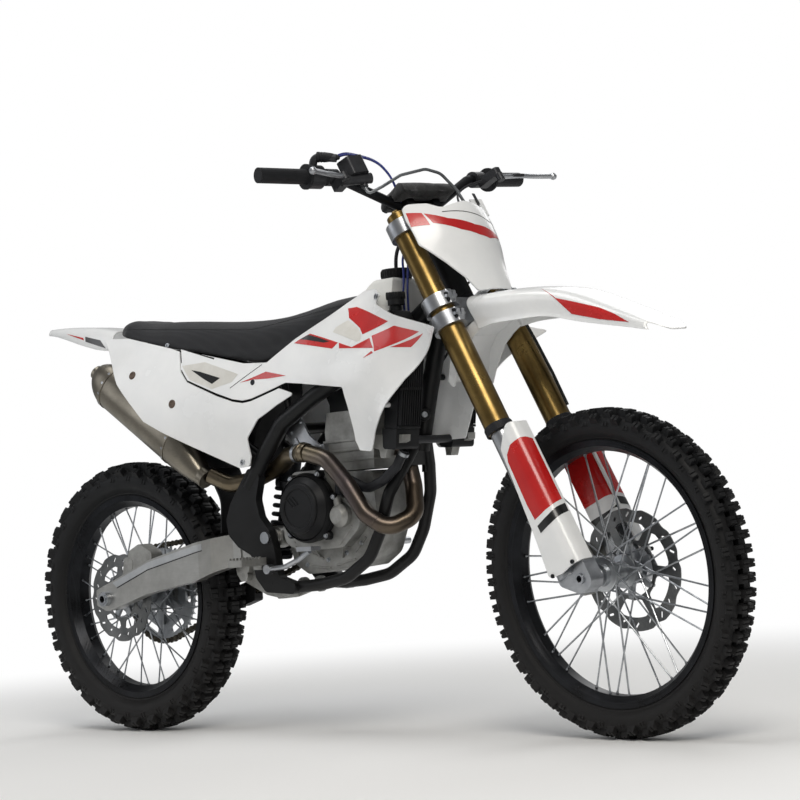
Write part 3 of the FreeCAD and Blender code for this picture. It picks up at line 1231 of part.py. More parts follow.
def brake_pedal():
    """Rear brake pedal from the plate to its toothed tip."""
    arm = tube([V(572, -112, 392), V(640, -128, 396), V(700, -142, 412), V(742, -150, 430)], 6, 30)
    pivot = barrel_y(572, 392, -122, -PLATE_OUTER, 11)
    tip = box((720, -170, 430), (766, -138, 440))
    return union([arm, pivot, tip])


def shift_lever():
    """Gear lever on the left."""
    arm = tube([V(650, 84, 430), V(700, 100, 420), V(752, 118, 428), V(786, 122, 436)], 5.5, 25)
    shaft = barrel_y(650, 430, CASE_HALF, 92, 9)
    tip = barrel_y(786, 436, 112, 142, 8)
    return union([arm, shaft, tip])


def rear_caliper():
    """Rear caliper and its bracket above the axle."""
    gap_low = REAR_DISC_Y - DISC_THICKNESS / 2 - 1.5
    gap_high = REAR_DISC_Y + DISC_THICKNESS / 2 + 1.5
    body = plate([(44, 404, 10), (54, 452, 16), (96, 470, 16), (140, 446, 14), (136, 418, 8), (90, 408, 10)],
                 gap_low - 13, gap_high + 18)
    slot = barrel_y(0, REAR_AXLE.z, gap_low, gap_high, REAR_DISC_R + 5)
    bracket = plate([(20, 366, 6), (40, 440, 8), (70, 430, 8), (60, 372, 6)], -ARM_INNER, gap_low - 1)
    keep = barrel_y(0, REAR_AXLE.z, -100, -60, 30)
    return union([body, bracket]).cut(slot).cut(keep)


def chain_guide():
    """Guide block under the arm and slider strip over its front."""
    block = plate([(290, 296, 6), (290, 350, 6), (346, 366, 6), (346, 312, 6)], CHAIN_Y - 14, CHAIN_Y + 14)
    way = plate([(270, 300.5), (270, 326.5), (366, 361.5), (366, 335.5)], CHAIN_Y - 10, CHAIN_Y + 10)
    hanger = plate([(300, 330), (300, 378), (340, 388), (340, 340)], CHAIN_Y + 10, ARM_INNER)
    return union([block.cut(way), hanger])


def build_wheels():
    """Both wheels with what turns with them."""
    centre = V(AXLE_A, 0, 0)
    save("front_tyre", along_fork(moved(tyre(FRONT), centre)))
    save("front_rim", along_fork(moved(rim(FRONT), centre)))
    save("front_spokes", along_fork(moved(spokes(FRONT, 64), centre)))
    save("front_hub", along_fork(moved(front_hub(), centre)))
    save("front_disc", along_fork(moved(brake_disc(FRONT_DISC_R, 56, FRONT_DISC_Y, 10), centre)))
    save("rear_tyre", moved(tyre(REAR), REAR_AXLE))
    save("rear_rim", moved(rim(REAR), REAR_AXLE))
    save("rear_spokes", moved(spokes(REAR, 62), REAR_AXLE))
    save("rear_hub", moved(rear_hub(), REAR_AXLE))
    save("rear_disc", moved(brake_disc(REAR_DISC_R, 50, REAR_DISC_Y, 9), REAR_AXLE))
    save("rear_sprocket", moved(rear_sprocket(), REAR_AXLE))


def build_front_end():
    """Everything that turns with the bars."""
    save("triple_clamps", along_fork(triple_clamps()))
    save("fork_tubes", *[along_fork(s) for s in fork_tubes()])
    save("fork_legs", *[along_fork(s) for s in fork_legs()])
    save("fork_guards", *[along_fork(s) for s in fork_guards()])
    save("front_axle", along_fork(front_axle()))
    save("front_caliper", along_fork(front_caliper()))
    save("handlebar", along_fork(handlebar()))
    save("bar_pad", along_fork(bar_pad()))
    save("grips", *[along_fork(s) for s in grips()])
    save("left_controls", along_fork(left_controls()))
    save("right_controls", along_fork(right_controls()))
    save("number_plate", along_fork(number_plate()))
    save("front_fender", along_fork(front_fender()))
    save("brake_hose", along_fork(brake_hose()))


def build_chassis():
    """Frame, engine, swingarm, plastics and what is fixed to them."""
    save("main_frame", main_frame())
    save("subframe", subframe())
    save("swingarm", swingarm())
    save("swingarm_pin", swingarm_pin())
    save("rear_axle", rear_axle())
    save("linkage", linkage())
    save("shock", shock())
    save("chain", chain())
    save("front_sprocket", front_sprocket())
    save("crankcase", crankcase())
    save("clutch_cover", clutch_cover())
    save("ignition_cover", ignition_cover())
    save("cylinder", cylinder_block())
    save("head_cover", head_cover())
    save("water_pump", water_pump())
    save("radiators", *radiators())
    save("coolant_hoses", *coolant_hoses())
    save("engine_mount", *engine_mount())
    save("exhaust_header", exhaust_header())
    save("silencer", silencer())
    save("fuel_tank", fuel_tank())
    save("tank_cap", tank_cap())
    save("seat", seat())
    save("shrouds", *shrouds())
    save("side_panels", *side_panels())
    save("airbox", airbox())
    save("rear_fender", rear_fender())
    save("footpegs", *footpegs())
    save("brake_pedal", brake_pedal())
    save("shift_lever", shift_lever())
    save("rear_caliper", rear_caliper())
    save("chain_guide", chain_guide())


build_wheels()
build_front_end()
build_chassis()
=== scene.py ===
"""Motocross bike: finishes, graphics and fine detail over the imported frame."""

import json
import logging
import math
from dataclasses import dataclass
from enum import Enum
from typing import Callable, Iterable, Sequence

import bmesh
import bpy
from mathutils import Matrix, Vector
from mathutils.bvhtree import BVHTree


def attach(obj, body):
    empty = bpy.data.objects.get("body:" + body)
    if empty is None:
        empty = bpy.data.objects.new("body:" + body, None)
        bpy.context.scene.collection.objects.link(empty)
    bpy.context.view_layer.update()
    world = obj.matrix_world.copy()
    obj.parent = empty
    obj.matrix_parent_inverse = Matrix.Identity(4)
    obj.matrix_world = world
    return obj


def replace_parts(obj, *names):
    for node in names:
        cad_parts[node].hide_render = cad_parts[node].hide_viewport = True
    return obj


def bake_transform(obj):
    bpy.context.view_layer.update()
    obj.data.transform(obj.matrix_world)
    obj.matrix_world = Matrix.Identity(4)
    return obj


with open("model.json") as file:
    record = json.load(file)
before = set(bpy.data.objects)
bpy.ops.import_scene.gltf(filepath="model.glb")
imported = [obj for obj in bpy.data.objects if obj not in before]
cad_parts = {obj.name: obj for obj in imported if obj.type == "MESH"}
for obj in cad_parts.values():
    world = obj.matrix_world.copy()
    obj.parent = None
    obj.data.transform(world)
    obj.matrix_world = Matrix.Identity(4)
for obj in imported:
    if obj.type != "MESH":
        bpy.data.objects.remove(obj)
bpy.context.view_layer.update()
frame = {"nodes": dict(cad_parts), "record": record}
Tree = bpy.types.NodeTree
Socket = bpy.types.NodeSocket
Mesh = bpy.types.Mesh
Object = bpy.types.Object
Pair = tuple[float, float]
Triple = tuple[float, float, float]

LOG = logging.getLogger("bike")
MM = 0.001
RIDER = Vector((540.0, 0.0, 980.0))
RAKE = math.radians(26.5)
REST_STEER = math.radians(-5.45)
AHEAD = Vector((math.cos(RAKE), 0.0, math.sin(RAKE)))
UP_FORK = Vector((-math.sin(RAKE), 0.0, math.cos(RAKE)))
TURN = Matrix.Rotation(REST_STEER, 3, UP_FORK)
AXLE_LEAD = 54.0
FRONT_RADIUS = 346.0
REAR_RADIUS = 338.0
WHEELBASE = 1480.0
STEER_FOOT = Vector((WHEELBASE, 0.0, FRONT_RADIUS)) - AHEAD * AXLE_LEAD
FLOOR_Z = -RIDER.z * MM
RIGHT, LEFT, UP = Vector((0.0, -1.0, 0.0)), Vector((0.0, 1.0, 0.0)), Vector((0.0, 0.0, 1.0))
SIDES = ((-1, "right"), (1, "left"))


class Body(Enum):
    """The bodies that pieces ride on."""
    CHASSIS = "chassis"
    FORK = "fork"
    FRONT_WHEEL = "front_wheel"
    REAR_WHEEL = "rear_wheel"


class Way(Enum):
    """How an outline is pressed on a surface: whether it is given on the fork, and the direction it is pressed in."""
    RIGHT_SIDE = (False, (0.0, 1.0, 0.0))
    LEFT_SIDE = (False, (0.0, -1.0, 0.0))
    FORK_RIGHT_FRONT = (True, (-0.8, 0.6, 0.0))
    FORK_LEFT_FRONT = (True, (-0.8, -0.6, 0.0))
    FORK_FRONT = (True, (-1.0, 0.0, 0.0))
    FENDER_RIGHT = (True, (-0.5, 0.75, -0.43))
    FENDER_LEFT = (True, (-0.5, -0.75, -0.43))


def at(x: float, y: float, z: float) -> Vector:
    """Place on the chassis, from millimetres ahead of, left of and above the point under the rear axle."""
    return (Vector((x, y, z)) - RIDER) * MM


def on_fork(ahead: float, side: float, up: float) -> Vector:
    """Place on the fork, from millimetres ahead of the steering axis, to the left, and up along it."""
    turned = TURN @ (AHEAD * ahead + Vector((0.0, side, 0.0)) + UP_FORK * up)
    return (STEER_FOOT + turned - RIDER) * MM


def fork_way(ahead: float, side: float, up: float) -> Vector:
    """Direction given in the fork's own axes."""
    return (TURN @ (AHEAD * ahead + Vector((0.0, side, 0.0)) + UP_FORK * up)).normalized()


def linear(value: str) -> tuple[float, float, float, float]:
    """Turn an sRGB hex colour into linear numbers."""
    parts = [int(value.lstrip("#")[i:i + 2], 16) / 255 for i in (0, 2, 4)]
    return (*[p / 12.92 if p <= 0.04045 else ((p + 0.055) / 1.055) ** 2.4 for p in parts], 1.0)


def add(tree: Tree, kind: str, settings: dict | None = None, links: dict | None = None) -> bpy.types.Node:
    """Add a node with its settings and its inputs.

    Args:
        tree: The node tree.
        kind: The node's type name.
        settings: Properties of the node.
        links: Input name or number, and a socket to link or a value to set.

    Returns:
        The new node.
    """
    node = tree.nodes.new(kind)
    for name, value in (settings or {}).items():
        setattr(node, name, value)
    for name, value in (links or {}).items():
        if isinstance(value, Socket):
            tree.links.new(value, node.inputs[name])
        else:
            node.inputs[name].default_value = value
    return node


def mixed(tree: Tree, share: Socket | float, first: Socket | tuple, second: Socket | tuple) -> Socket:
    """Blend of two colours."""
    return add(tree, "ShaderNodeMix", {"data_type": "RGBA"}, {0: share, 6: first, 7: second}).outputs[2]


def ranged(tree: Tree, value: Socket, low: float, high: float, new_low: float = 0.0, new_high: float = 1.0) -> Socket:
    """Value moved from one range to another, and held at its ends."""
    return add(tree, "ShaderNodeMapRange", None, {"Value": value, "From Min": low, "From Max": high,
                                                  "To Min": new_low, "To Max": new_high}).outputs[0]


def noise(tree: Tree, place: Socket, size_mm: float, detail: float, rough: float = 0.5) -> Socket:
    """Noise of a size in millimetres."""
    return add(tree, "ShaderNodeTexNoise", None, {"Vector": place, "Scale": 1000 / size_mm, "Detail": detail,
                                                  "Roughness": rough}).outputs[0]


def part_of(tree: Tree, place: Socket, axis: int) -> Socket:
    """One coordinate of a place."""
    return add(tree, "ShaderNodeSeparateXYZ", None, {0: place}).outputs[axis]


def maths(tree: Tree, operation: str, *values: Socket | float) -> Socket:
    """Result of a maths node."""
    return add(tree, "ShaderNodeMath", {"operation": operation}, dict(enumerate(values))).outputs[0]


# Finishes

GRAIN_STRENGTH = 0.7
PATTERN_DEEP_MM, PATTERN_STRENGTH = 0.4, 0.8
DUST_COLOUR = "#a4978a"
DUST_FROM, DUST_TO = -0.98, -0.35


@dataclass(frozen=True)
class Finish:
    """Colours, gloss and grain of one real material.

    The colour drifts between two tones in soft patches, the gloss drifts with it, and a fine grain
    gives the surface its relief. Edges catch light over edge_mm. Dust lies thickest at the ground.
    """
    name: str
    colour: str
    shade: str
    metallic: float = 0.0
    gloss: Pair = (0.35, 0.5)
    patch_mm: float = 80.0
    grain_mm: float = 1.2
    relief_mm: float = 0.03
    edge_mm: float = 0.8
    coat: float = 0.0
    sheen: float = 0.0
    specular: float = 0.5
    dust: float = 0.0

    def pattern(self, tree: Tree, place: Socket, colour: Socket) -> tuple[Socket, Socket | None]:
        """Colour and extra height that a finish with a pattern adds; the plain one adds none."""
        return colour, None

    def build(self) -> bpy.types.Material:
        """Make the material, once for each name."""
        if self.name in bpy.data.materials:
            return bpy.data.materials[self.name]
        material = bpy.data.materials.new(self.name)
        material.use_nodes = True
        tree = material.node_tree
        shader = tree.nodes["Principled BSDF"]
        for name, value in (("Metallic", self.metallic), ("Specular IOR Level", self.specular),
                            ("Coat Weight", self.coat), ("Coat Roughness", 0.08), ("Sheen Weight", self.sheen)):
            shader.inputs[name].default_value = value
        place = add(tree, "ShaderNodeTexCoord").outputs["Object"]
        patches = noise(tree, place, self.patch_mm, 5.0, 0.6)
        grain = noise(tree, place, self.grain_mm, 2.0)
        colour = mixed(tree, ranged(tree, patches, 0.35, 0.68), linear(self.colour), linear(self.shade))
        colour, height = self.pattern(tree, place, colour)
        rough = ranged(tree, patches, 0.3, 0.7, *self.gloss)
        if self.dust:
            low = ranged(tree, part_of(tree, place, 2), DUST_FROM, DUST_TO, self.dust, 0.0)
            colour = mixed(tree, maths(tree, "MULTIPLY", low, grain), colour, linear(DUST_COLOUR))
        relief = add(tree, "ShaderNodeBevel", {"samples": 3}, {"Radius": self.edge_mm * MM}).outputs[0]
        for level, deep_mm, strength in ((grain, self.relief_mm, GRAIN_STRENGTH),
                                         (height, PATTERN_DEEP_MM, PATTERN_STRENGTH)):
            if level is not None:
                relief = add(tree, "ShaderNodeBump", None, {"Height": level, "Distance": deep_mm * MM,
                                                            "Strength": strength, "Normal": relief}).outputs[0]
        for name, socket in (("Base Color", colour), ("Roughness", rough), ("Normal", relief)):
            tree.links.new(socket, shader.inputs[name])
        return material


@dataclass(frozen=True)
class DrawnMetal(Finish):
    """Metal with fine lines left by drawing, turning or grinding, along one axis."""
    line_mm: float = 1.2
    stretch: Triple = (1.0, 1.0, 0.03)
    lean: float = 0.0

    def pattern(self, tree: Tree, place: Socket, colour: Socket) -> tuple[Socket, Socket | None]:
        """Stretch a noise along the grain: it shades the colour a little and lies a hair deep."""
        turned = add(tree, "ShaderNodeMapping", None,
                     {"Vector": place, "Rotation": (0.0, self.lean, 0.0), "Scale": self.stretch}).outputs[0]
        share = ranged(tree, noise(tree, turned, self.line_mm, 1.0), 0.3, 0.8, 0.0, 0.35)
        return mixed(tree, share, colour, linear(self.shade)), None


@dataclass(frozen=True)
class RingTurned(Finish):
    """Metal faced on a lathe or ground, with rings round a wheel's axle."""
    centre: Triple = (0.0, 0.0, 0.0)
    ring_mm: float = 1.6

    def pattern(self, tree: Tree, place: Socket, colour: Socket) -> tuple[Socket, Socket | None]:
        """Rings round the axle, a little uneven."""
        kind = "ShaderNodeVectorMath"
        local = add(tree, kind, {"operation": "SUBTRACT"}, {0: place, 1: self.centre}).outputs[0]
        flat = add(tree, kind, {"operation": "MULTIPLY"}, {0: local, 1: (1.0, 0.0, 1.0)}).outputs[0]
        radius = add(tree, kind, {"operation": "LENGTH"}, {0: flat}).outputs["Value"]
        rings = add(tree, "ShaderNodeTexNoise", {"noise_dimensions": "1D"},
                    {"W": radius, "Scale": 1000 / self.ring_mm, "Detail": 2.0}).outputs[0]
        return mixed(tree, ranged(tree, rings, 0.35, 0.7, 0.0, 0.5), colour, linear(self.shade)), rings


@dataclass(frozen=True)
class HeatTinted(Finish):
    """Stainless pipe that heat has tinted: straw and bronze near the engine, paler behind."""
    hot: str = "#76664a"
    blue: str = "#5a5358"
    cold_end: float = -0.05
    hot_end: float = 0.5
    share: float = 0.72

    def pattern(self, tree: Tree, place: Socket, colour: Socket) -> tuple[Socket, Socket | None]:
        """Tint by the distance ahead of the silencer, broken up by soft noise."""
        drift = noise(tree, place, 62.5, 3.0)
        along = maths(tree, "MULTIPLY_ADD", drift, 0.18, part_of(tree, place, 0))
        ramp = add(tree, "ShaderNodeValToRGB", None, {0: ranged(tree, along, self.cold_end, self.hot_end)})
        stops = ramp.color_ramp.elements
        stops[0].color = linear(self.colour)
        stops[1].color = linear(self.shade)
        for where, tone in ((0.35, self.hot), (0.6, self.colour), (0.8, self.blue)):
            stops.new(where).color = linear(tone)
        return mixed(tree, self.share, colour, ramp.outputs[0]), None


WAVE_SCALE = 3.1416


def wave(tree: Tree, place: Socket, axis: str, size_mm: float) -> Socket:
    """Even wave along an axis, of about a size in millimetres."""
    return add(tree, "ShaderNodeTexWave", {"bands_direction": axis},
               {"Vector": place, "Scale": 1000 / size_mm / WAVE_SCALE}).outputs[1]


@dataclass(frozen=True)
class Ribbed(Finish):
    """Cover or rubber with a moulded pattern of small pips, drawn by two waves that cross."""
    rib_mm: float = 6.0
    axes: str = "XY"

    def pattern(self, tree: Tree, place: Socket, colour: Socket) -> tuple[Socket, Socket | None]:
        """Rows of ribs, crossed into pips."""
        height = maths(tree, "MULTIPLY", *[wave(tree, place, axis, self.rib_mm) for axis in self.axes])
        return mixed(tree, ranged(tree, height, 0.0, 1.0, 0.0, 0.35), colour, linear(self.shade)), height


@dataclass(frozen=True)
class Woven(Finish):
    """Woven or braided cover: two sets of threads, drawn a little coarser than real so that they show."""
    thread_mm: float = 1.6

    def pattern(self, tree: Tree, place: Socket, colour: Socket) -> tuple[Socket, Socket | None]:
        """Two diagonal thread waves, one over the other."""
        turned = add(tree, "ShaderNodeMapping", None, {"Vector": place, "Rotation": (0.6, 0.8, 0.7)}).outputs[0]
        height = maths(tree, "MAXIMUM", *[wave(tree, turned, axis, self.thread_mm) for axis in "XY"])
        return mixed(tree, height, linear(self.shade), colour), height


@dataclass(frozen=True)
class TwoTone(Finish):
    """Coated piece whose colour changes at a level, where the coat or the sleeve ends."""
    low: str = "#808080"
    level: float = 0.0
    blur: float = 0.002

    def pattern(self, tree: Tree, place: Socket, colour: Socket) -> tuple[Socket, Socket | None]:
        """The lower colour stands below the level."""
        share = ranged(tree, part_of(tree, place, 2), self.level, self.level + self.blur)
        return mixed(tree, share, linear(self.low), colour), None


FRONT_CENTRE = tuple(on_fork(AXLE_LEAD, 0.0, 0.0))
REAR_CENTRE = tuple(at(0.0, 0.0, REAR_RADIUS))

# Injection-moulded white polypropylene: a clean gloss with a faint orange peel.
WHITE = Finish("white_moulded_polypropylene", "#f1f2f2", "#e6e8e9", gloss=(0.2, 0.3), patch_mm=160, grain_mm=2.5,
               relief_mm=0.02, edge_mm=1.5, coat=0.25)
# Blow-moulded tank plastic: milky, with a matt skin.
TANK = Finish("natural_blow_moulded_polyethylene", "#e3e3df", "#d6d7d4", gloss=(0.4, 0.5), patch_mm=90, grain_mm=1.5)
# Black polypropylene with the spark-eroded grain of its mould.
BLACK_PLASTIC = Finish("black_grained_polypropylene", "#121315", "#1b1c1e", gloss=(0.4, 0.58), grain_mm=0.9,
                       relief_mm=0.05, dust=0.03, specular=0.25)
# Printed vinyl film, red: flat colour under a clear gloss.
RED_FILM = Finish("red_printed_vinyl_film", "#b81c1c", "#c9221f", gloss=(0.2, 0.32), patch_mm=120, coat=0.4,
                  edge_mm=0.2)
# The same film in black.
BLACK_FILM = Finish("black_printed_vinyl_film", "#131314", "#1b1b1c", gloss=(0.22, 0.35), patch_mm=120, coat=0.4,
                    edge_mm=0.2)
# Pale grey plastic of the grip ends; on the shroud's scoop and recess films the same colour is painted shade and
# reflection inside those hollows.
PALE_GREY_AND_PAINTED_SHADE = Finish("pale_grey_plastic_and_painted_recess_shade", "#d3d1ca", "#dfded9", gloss=(0.35, 0.5), patch_mm=40)
# Hard-anodised fork tube in bronze gold: a drawn metal whose lines run along the tube.
GOLD = DrawnMetal("bronze_gold_anodised_aluminium", "#8f7747", "#66532f", metallic=0.95, gloss=(0.26, 0.34),
                  grain_mm=1.0, relief_mm=0.005, lean=RAKE, stretch=(1.0, 1.0, 0.02), edge_mm=0.6)
# Forged clamps, machined and lightly blasted: bright, with soft highlights.
MACHINED = DrawnMetal("machined_forged_aluminium", "#c9cbce", "#9da0a5", metallic=1.0, gloss=(0.26, 0.4), grain_mm=0.8,
                      relief_mm=0.02, lean=RAKE, stretch=(0.05, 1.0, 1.0), edge_mm=1.2)
# Sand-cast and blasted engine castings: grey, grainy, dull.
CAST = Finish("sand_cast_aluminium", "#a5a5a2", "#868683", metallic=0.7, gloss=(0.42, 0.6), patch_mm=45, grain_mm=1.1,
              relief_mm=0.12, edge_mm=1.2, dust=0.05)
# Painted magnesium covers: black with a satin skin.
BLACK_COVER = Finish("black_painted_magnesium", "#111214", "#1a1b1d", metallic=0.2, gloss=(0.32, 0.46), grain_mm=0.9,
                     relief_mm=0.05, edge_mm=1.4, dust=0.02, specular=0.25)
# Powder-coated steel frame: deep satin black.
FRAME_BLACK = Finish("black_powder_coated_steel", "#0c0d0e", "#141517", metallic=0.0, gloss=(0.32, 0.46), grain_mm=1.4,
                     relief_mm=0.03, edge_mm=1.2, dust=0.03, specular=0.25)
# Black anodised rims, rolled and polished before dyeing.
RIM_BLACK = RingTurned("black_anodised_rim", "#101113", "#26282c", metallic=0.7, gloss=(0.25, 0.36),
                       centre=FRONT_CENTRE, ring_mm=3.0, edge_mm=0.6, dust=0.02, specular=0.25)
# Zinc-plated stainless spokes and bolts: bright and slightly soft.
BRIGHT_STEEL = Finish("zinc_plated_steel", "#b9bcc0", "#8f9398", metallic=1.0, gloss=(0.25, 0.38), patch_mm=30,
                      relief_mm=0.01, edge_mm=0.4)
# Dark phosphated fasteners.
DARK_STEEL = Finish("phosphated_steel", "#3a3b3e", "#2b2c2f", metallic=0.9, gloss=(0.4, 0.55), patch_mm=20, edge_mm=0.4)
# Ground stainless brake discs, with the rings of the grinding wheel.
FRONT_DISC = RingTurned("ground_stainless_front", "#7f8080", "#5c5e5f", metallic=1.0, gloss=(0.28, 0.4),
                        centre=FRONT_CENTRE, ring_mm=1.2, edge_mm=0.4)
REAR_DISC = RingTurned("ground_stainless_rear", "#7f8080", "#5c5e5f", metallic=1.0, gloss=(0.28, 0.4),
                       centre=REAR_CENTRE, ring_mm=1.2, edge_mm=0.4)
# Machined hubs, clear anodised.
HUB = RingTurned("turned_aluminium_hub", "#bfc2c5", "#8f9296", metallic=1.0, gloss=(0.28, 0.42), centre=FRONT_CENTRE,
                 ring_mm=1.5, edge_mm=1.0)
REAR_HUB = RingTurned("turned_aluminium_rear_hub", "#b6b9bc", "#85888c", metallic=1.0, gloss=(0.3, 0.45),
                      centre=REAR_CENTRE, ring_mm=1.5, edge_mm=1.0)
# Extruded and linished swingarm: silver with long brush lines.
SWINGARM = DrawnMetal("linished_aluminium", "#bfbfbc", "#a09f9c", metallic=1.0, gloss=(0.3, 0.42), grain_mm=1.0,
                      relief_mm=0.02, line_mm=1.5, stretch=(0.03, 1.0, 1.0), edge_mm=1.6)
# Stainless header pipe, tinted by heat.
HEADER = HeatTinted("heat_tinted_stainless", "#756c5c", "#594f45", metallic=1.0, gloss=(0.27, 0.4), patch_mm=50,
                    grain_mm=2.0, relief_mm=0.01, edge_mm=0.5)
# Blasted titanium-grey silencer sleeve: soft satin.
SILENCER = DrawnMetal("blasted_stainless_sleeve", "#8f897d", "#716c62", metallic=1.0, gloss=(0.3, 0.42), line_mm=2.0,
                      lean=math.radians(35), stretch=(0.03, 1.0, 1.0), relief_mm=0.01, edge_mm=1.0)
# Moulded tyre rubber: near black, matt, a little dusty on the blocks.
RUBBER = Finish("moulded_tyre_rubber", "#101113", "#191a1c", gloss=(0.5, 0.7), patch_mm=40, grain_mm=1.2,
                relief_mm=0.06, edge_mm=1.0, dust=0.04, specular=0.25)
# Extruded coolant and brake hose rubber.
HOSE = Finish("extruded_epdm_rubber", "#202124", "#2a2b2f", gloss=(0.4, 0.52), patch_mm=30, grain_mm=1.0,
              specular=0.25)
# Grip rubber, moulded with rows of small ribs across the hand.
GRIP = Ribbed("ribbed_grip_rubber", "#161719", "#25262a", gloss=(0.5, 0.65), rib_mm=4.5, axes="YZ", relief_mm=0.03,
              specular=0.25)
# Gripper seat cover: coated cloth with fine moulded pips.
SEAT_COVER = Ribbed("gripper_coated_cloth", "#131417", "#26272b", gloss=(0.5, 0.66), rib_mm=3.2, patch_mm=110,
                    relief_mm=0.05, sheen=0.2, edge_mm=1.5, specular=0.25)
# Woven polyester sleeve of the bar pad.
PAD_CLOTH = Woven("woven_polyester_sleeve", "#1c1d1f", "#0f1011", gloss=(0.6, 0.75), thread_mm=1.4, sheen=0.3,
                  specular=0.25)
# Braided steel hose under a clear sleeve.
BRAID = TwoTone("braided_steel_hose", "#85898d", "#54575b", metallic=0.4, gloss=(0.3, 0.42), coat=0.4, low="#131415",
                level=0.06)
# Blue plastic cable outer.
BLUE_CABLE = Finish("blue_extruded_nylon_sheath", "#26348c", "#1c2769", gloss=(0.3, 0.4), coat=0.2)
# Oiled chain steel, browned by lubricant.
CHAIN = Finish("oiled_chain_steel", "#57534a", "#36332d", metallic=1.0, gloss=(0.3, 0.5), patch_mm=14, edge_mm=0.4)
# Brazed radiator aluminium.
RADIATOR = TwoTone("black_stoved_radiator", "#161719", "#202224", metallic=0.2, gloss=(0.4, 0.55), low="#1c1d1f",
                   level=at(0, 0, 693).z, specular=0.25)
# Black anodised handlebar tube, drawn along its length.
BAR_BLACK = DrawnMetal("black_anodised_bar", "#141517", "#202225", metallic=0.5, gloss=(0.3, 0.42),
                         stretch=(1.0, 0.03, 1.0), specular=0.25)
# Die-cast control housings with a dark grey baked coat.
DARK_CAST = Finish("dark_coated_die_casting", "#3b3c3f", "#2b2c2f", metallic=0.5, gloss=(0.35, 0.5), patch_mm=20,
                   relief_mm=0.06, edge_mm=0.8)
# Turned plastic grommet, tan brown.
GROMMET = Finish("tan_brown_rubber_grommet", "#5c4a3b", "#463729", gloss=(0.4, 0.55), patch_mm=8, edge_mm=0.5)
# Bright satin flange milled on the arm.
MILLED = DrawnMetal("milled_bright_aluminium", "#d0d2d3", "#b2b5b8", metallic=0.9, gloss=(0.32, 0.42), line_mm=1.5,
                    stretch=(0.03, 1.0, 1.0), edge_mm=0.6)
# Black wrinkle finish on the shock body and its spring.
SHOCK = Finish("black_hard_anodised_shock", "#1d1e21", "#2b2d31", metallic=0.5, gloss=(0.3, 0.45), grain_mm=1.0,
               specular=0.25)

NODE_FINISH: dict[str, Finish] = {node: finish for finish, nodes in (
    (RUBBER, "front_tyre rear_tyre"), (RIM_BLACK, "front_rim rear_rim"), (HUB, "front_hub"), (FRONT_DISC, "front_disc"),
    (REAR_HUB, "rear_hub rear_sprocket"), (REAR_DISC, "rear_disc"), (GOLD, "fork_tubes"), (BAR_BLACK, "handlebar"),
    (BRIGHT_STEEL, "front_spokes rear_spokes front_axle rear_axle swingarm_pin"), (PAD_CLOTH, "bar_pad"),
    (MACHINED, "triple_clamps fork_legs engine_mount brake_pedal shift_lever"), (GRIP, "grips"), (SHOCK, "shock"),
    (WHITE, "fork_guards number_plate front_fender shrouds side_panels rear_fender"), (SWINGARM, "swingarm"),
    (CAST, "front_caliper linkage crankcase ignition_cover cylinder water_pump footpegs rear_caliper"),
    (DARK_CAST, "left_controls right_controls"), (BRAID, "brake_hose"), (FRAME_BLACK, "main_frame subframe"),
    (CHAIN, "chain front_sprocket"), (BLACK_COVER, "clutch_cover head_cover"), (RADIATOR, "radiators"),
    (HOSE, "coolant_hoses"), (HEADER, "exhaust_header"), (SILENCER, "silencer"), (TANK, "fuel_tank"),
    (BLACK_PLASTIC, "tank_cap airbox chain_guide"), (SEAT_COVER, "seat")) for node in nodes.split()}


def slot_of(node: str) -> str:
    """Material slot of a CAD node in the record."""
    return next(part["material_slot"] for part in frame["record"]["subparts"] if part["node"] == node)


def dress_nodes() -> None:
    """Give every CAD node its finish."""
    for name, obj in frame["nodes"].items():
        material = NODE_FINISH[name].build()
        obj.data.materials.clear()
        obj.data.materials.append(material)
        LOG.info("node %s: %s", name, material.name)


# Meshes

SHARP_EDGE = math.radians(35)


def piece(name: str, mesh: Mesh | Iterable[Mesh], finish: Finish, node: str, body: Body = Body.CHASSIS,
          sharp: bool = True) -> Object:
    """Make a finished mesh a piece that rides on a body.

    Args:
        name: The piece's name.
        mesh: Its mesh, in place, or several to join.
        finish: Its finish.
        node: A CAD node; its material slot in the record is looked up but not given to the piece.
        body: The body it rides on.
        sharp: Whether edges of more than SHARP_EDGE stay sharp.

    Returns:
        The object.
    """
    mesh = mesh if isinstance(mesh, Mesh) else joined(mesh)
    mesh.materials.clear()
    mesh.materials.append(finish.build())
    mesh.shade_smooth()
    if sharp:
        edit = bmesh.new()
        edit.from_mesh(mesh)
        for edge in edit.edges:
            if len(edge.link_faces) == 2 and edge.calc_face_angle(0.0) > SHARP_EDGE:
                edge.smooth = False
        edit.to_mesh(mesh)
        edit.free()
    obj = linked(mesh, name)
    slot_of(node)
    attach(obj, body.value)
    LOG.info("piece %s: %d faces", name, len(mesh.polygons))
    return obj


def linked(data: bpy.types.ID, name: str = "helper") -> Object:
    """Link a mesh, curve, lamp or camera as an object; without a name of its own it is a helper."""
    obj = bpy.data.objects.new(name, data)
    bpy.context.scene.collection.objects.link(obj)
    return obj


def plain_mesh(obj: Object) -> Mesh:
    """Mesh of an object with its modifiers applied; the object is removed."""
    depsgraph = bpy.context.evaluated_depsgraph_get()
    mesh = bpy.data.meshes.new_from_object(obj.evaluated_get(depsgraph), depsgraph=depsgraph)
    mesh.transform(obj.matrix_world)
    bpy.data.objects.remove(obj)
    return mesh


def from_bmesh(edit: bmesh.types.BMesh) -> Mesh:
    """Close a bmesh into a new mesh with outward faces."""
    bmesh.ops.recalc_face_normals(edit, faces=edit.faces)
    mesh = bpy.data.meshes.new("part")
    edit.to_mesh(mesh)
    edit.free()
    return mesh


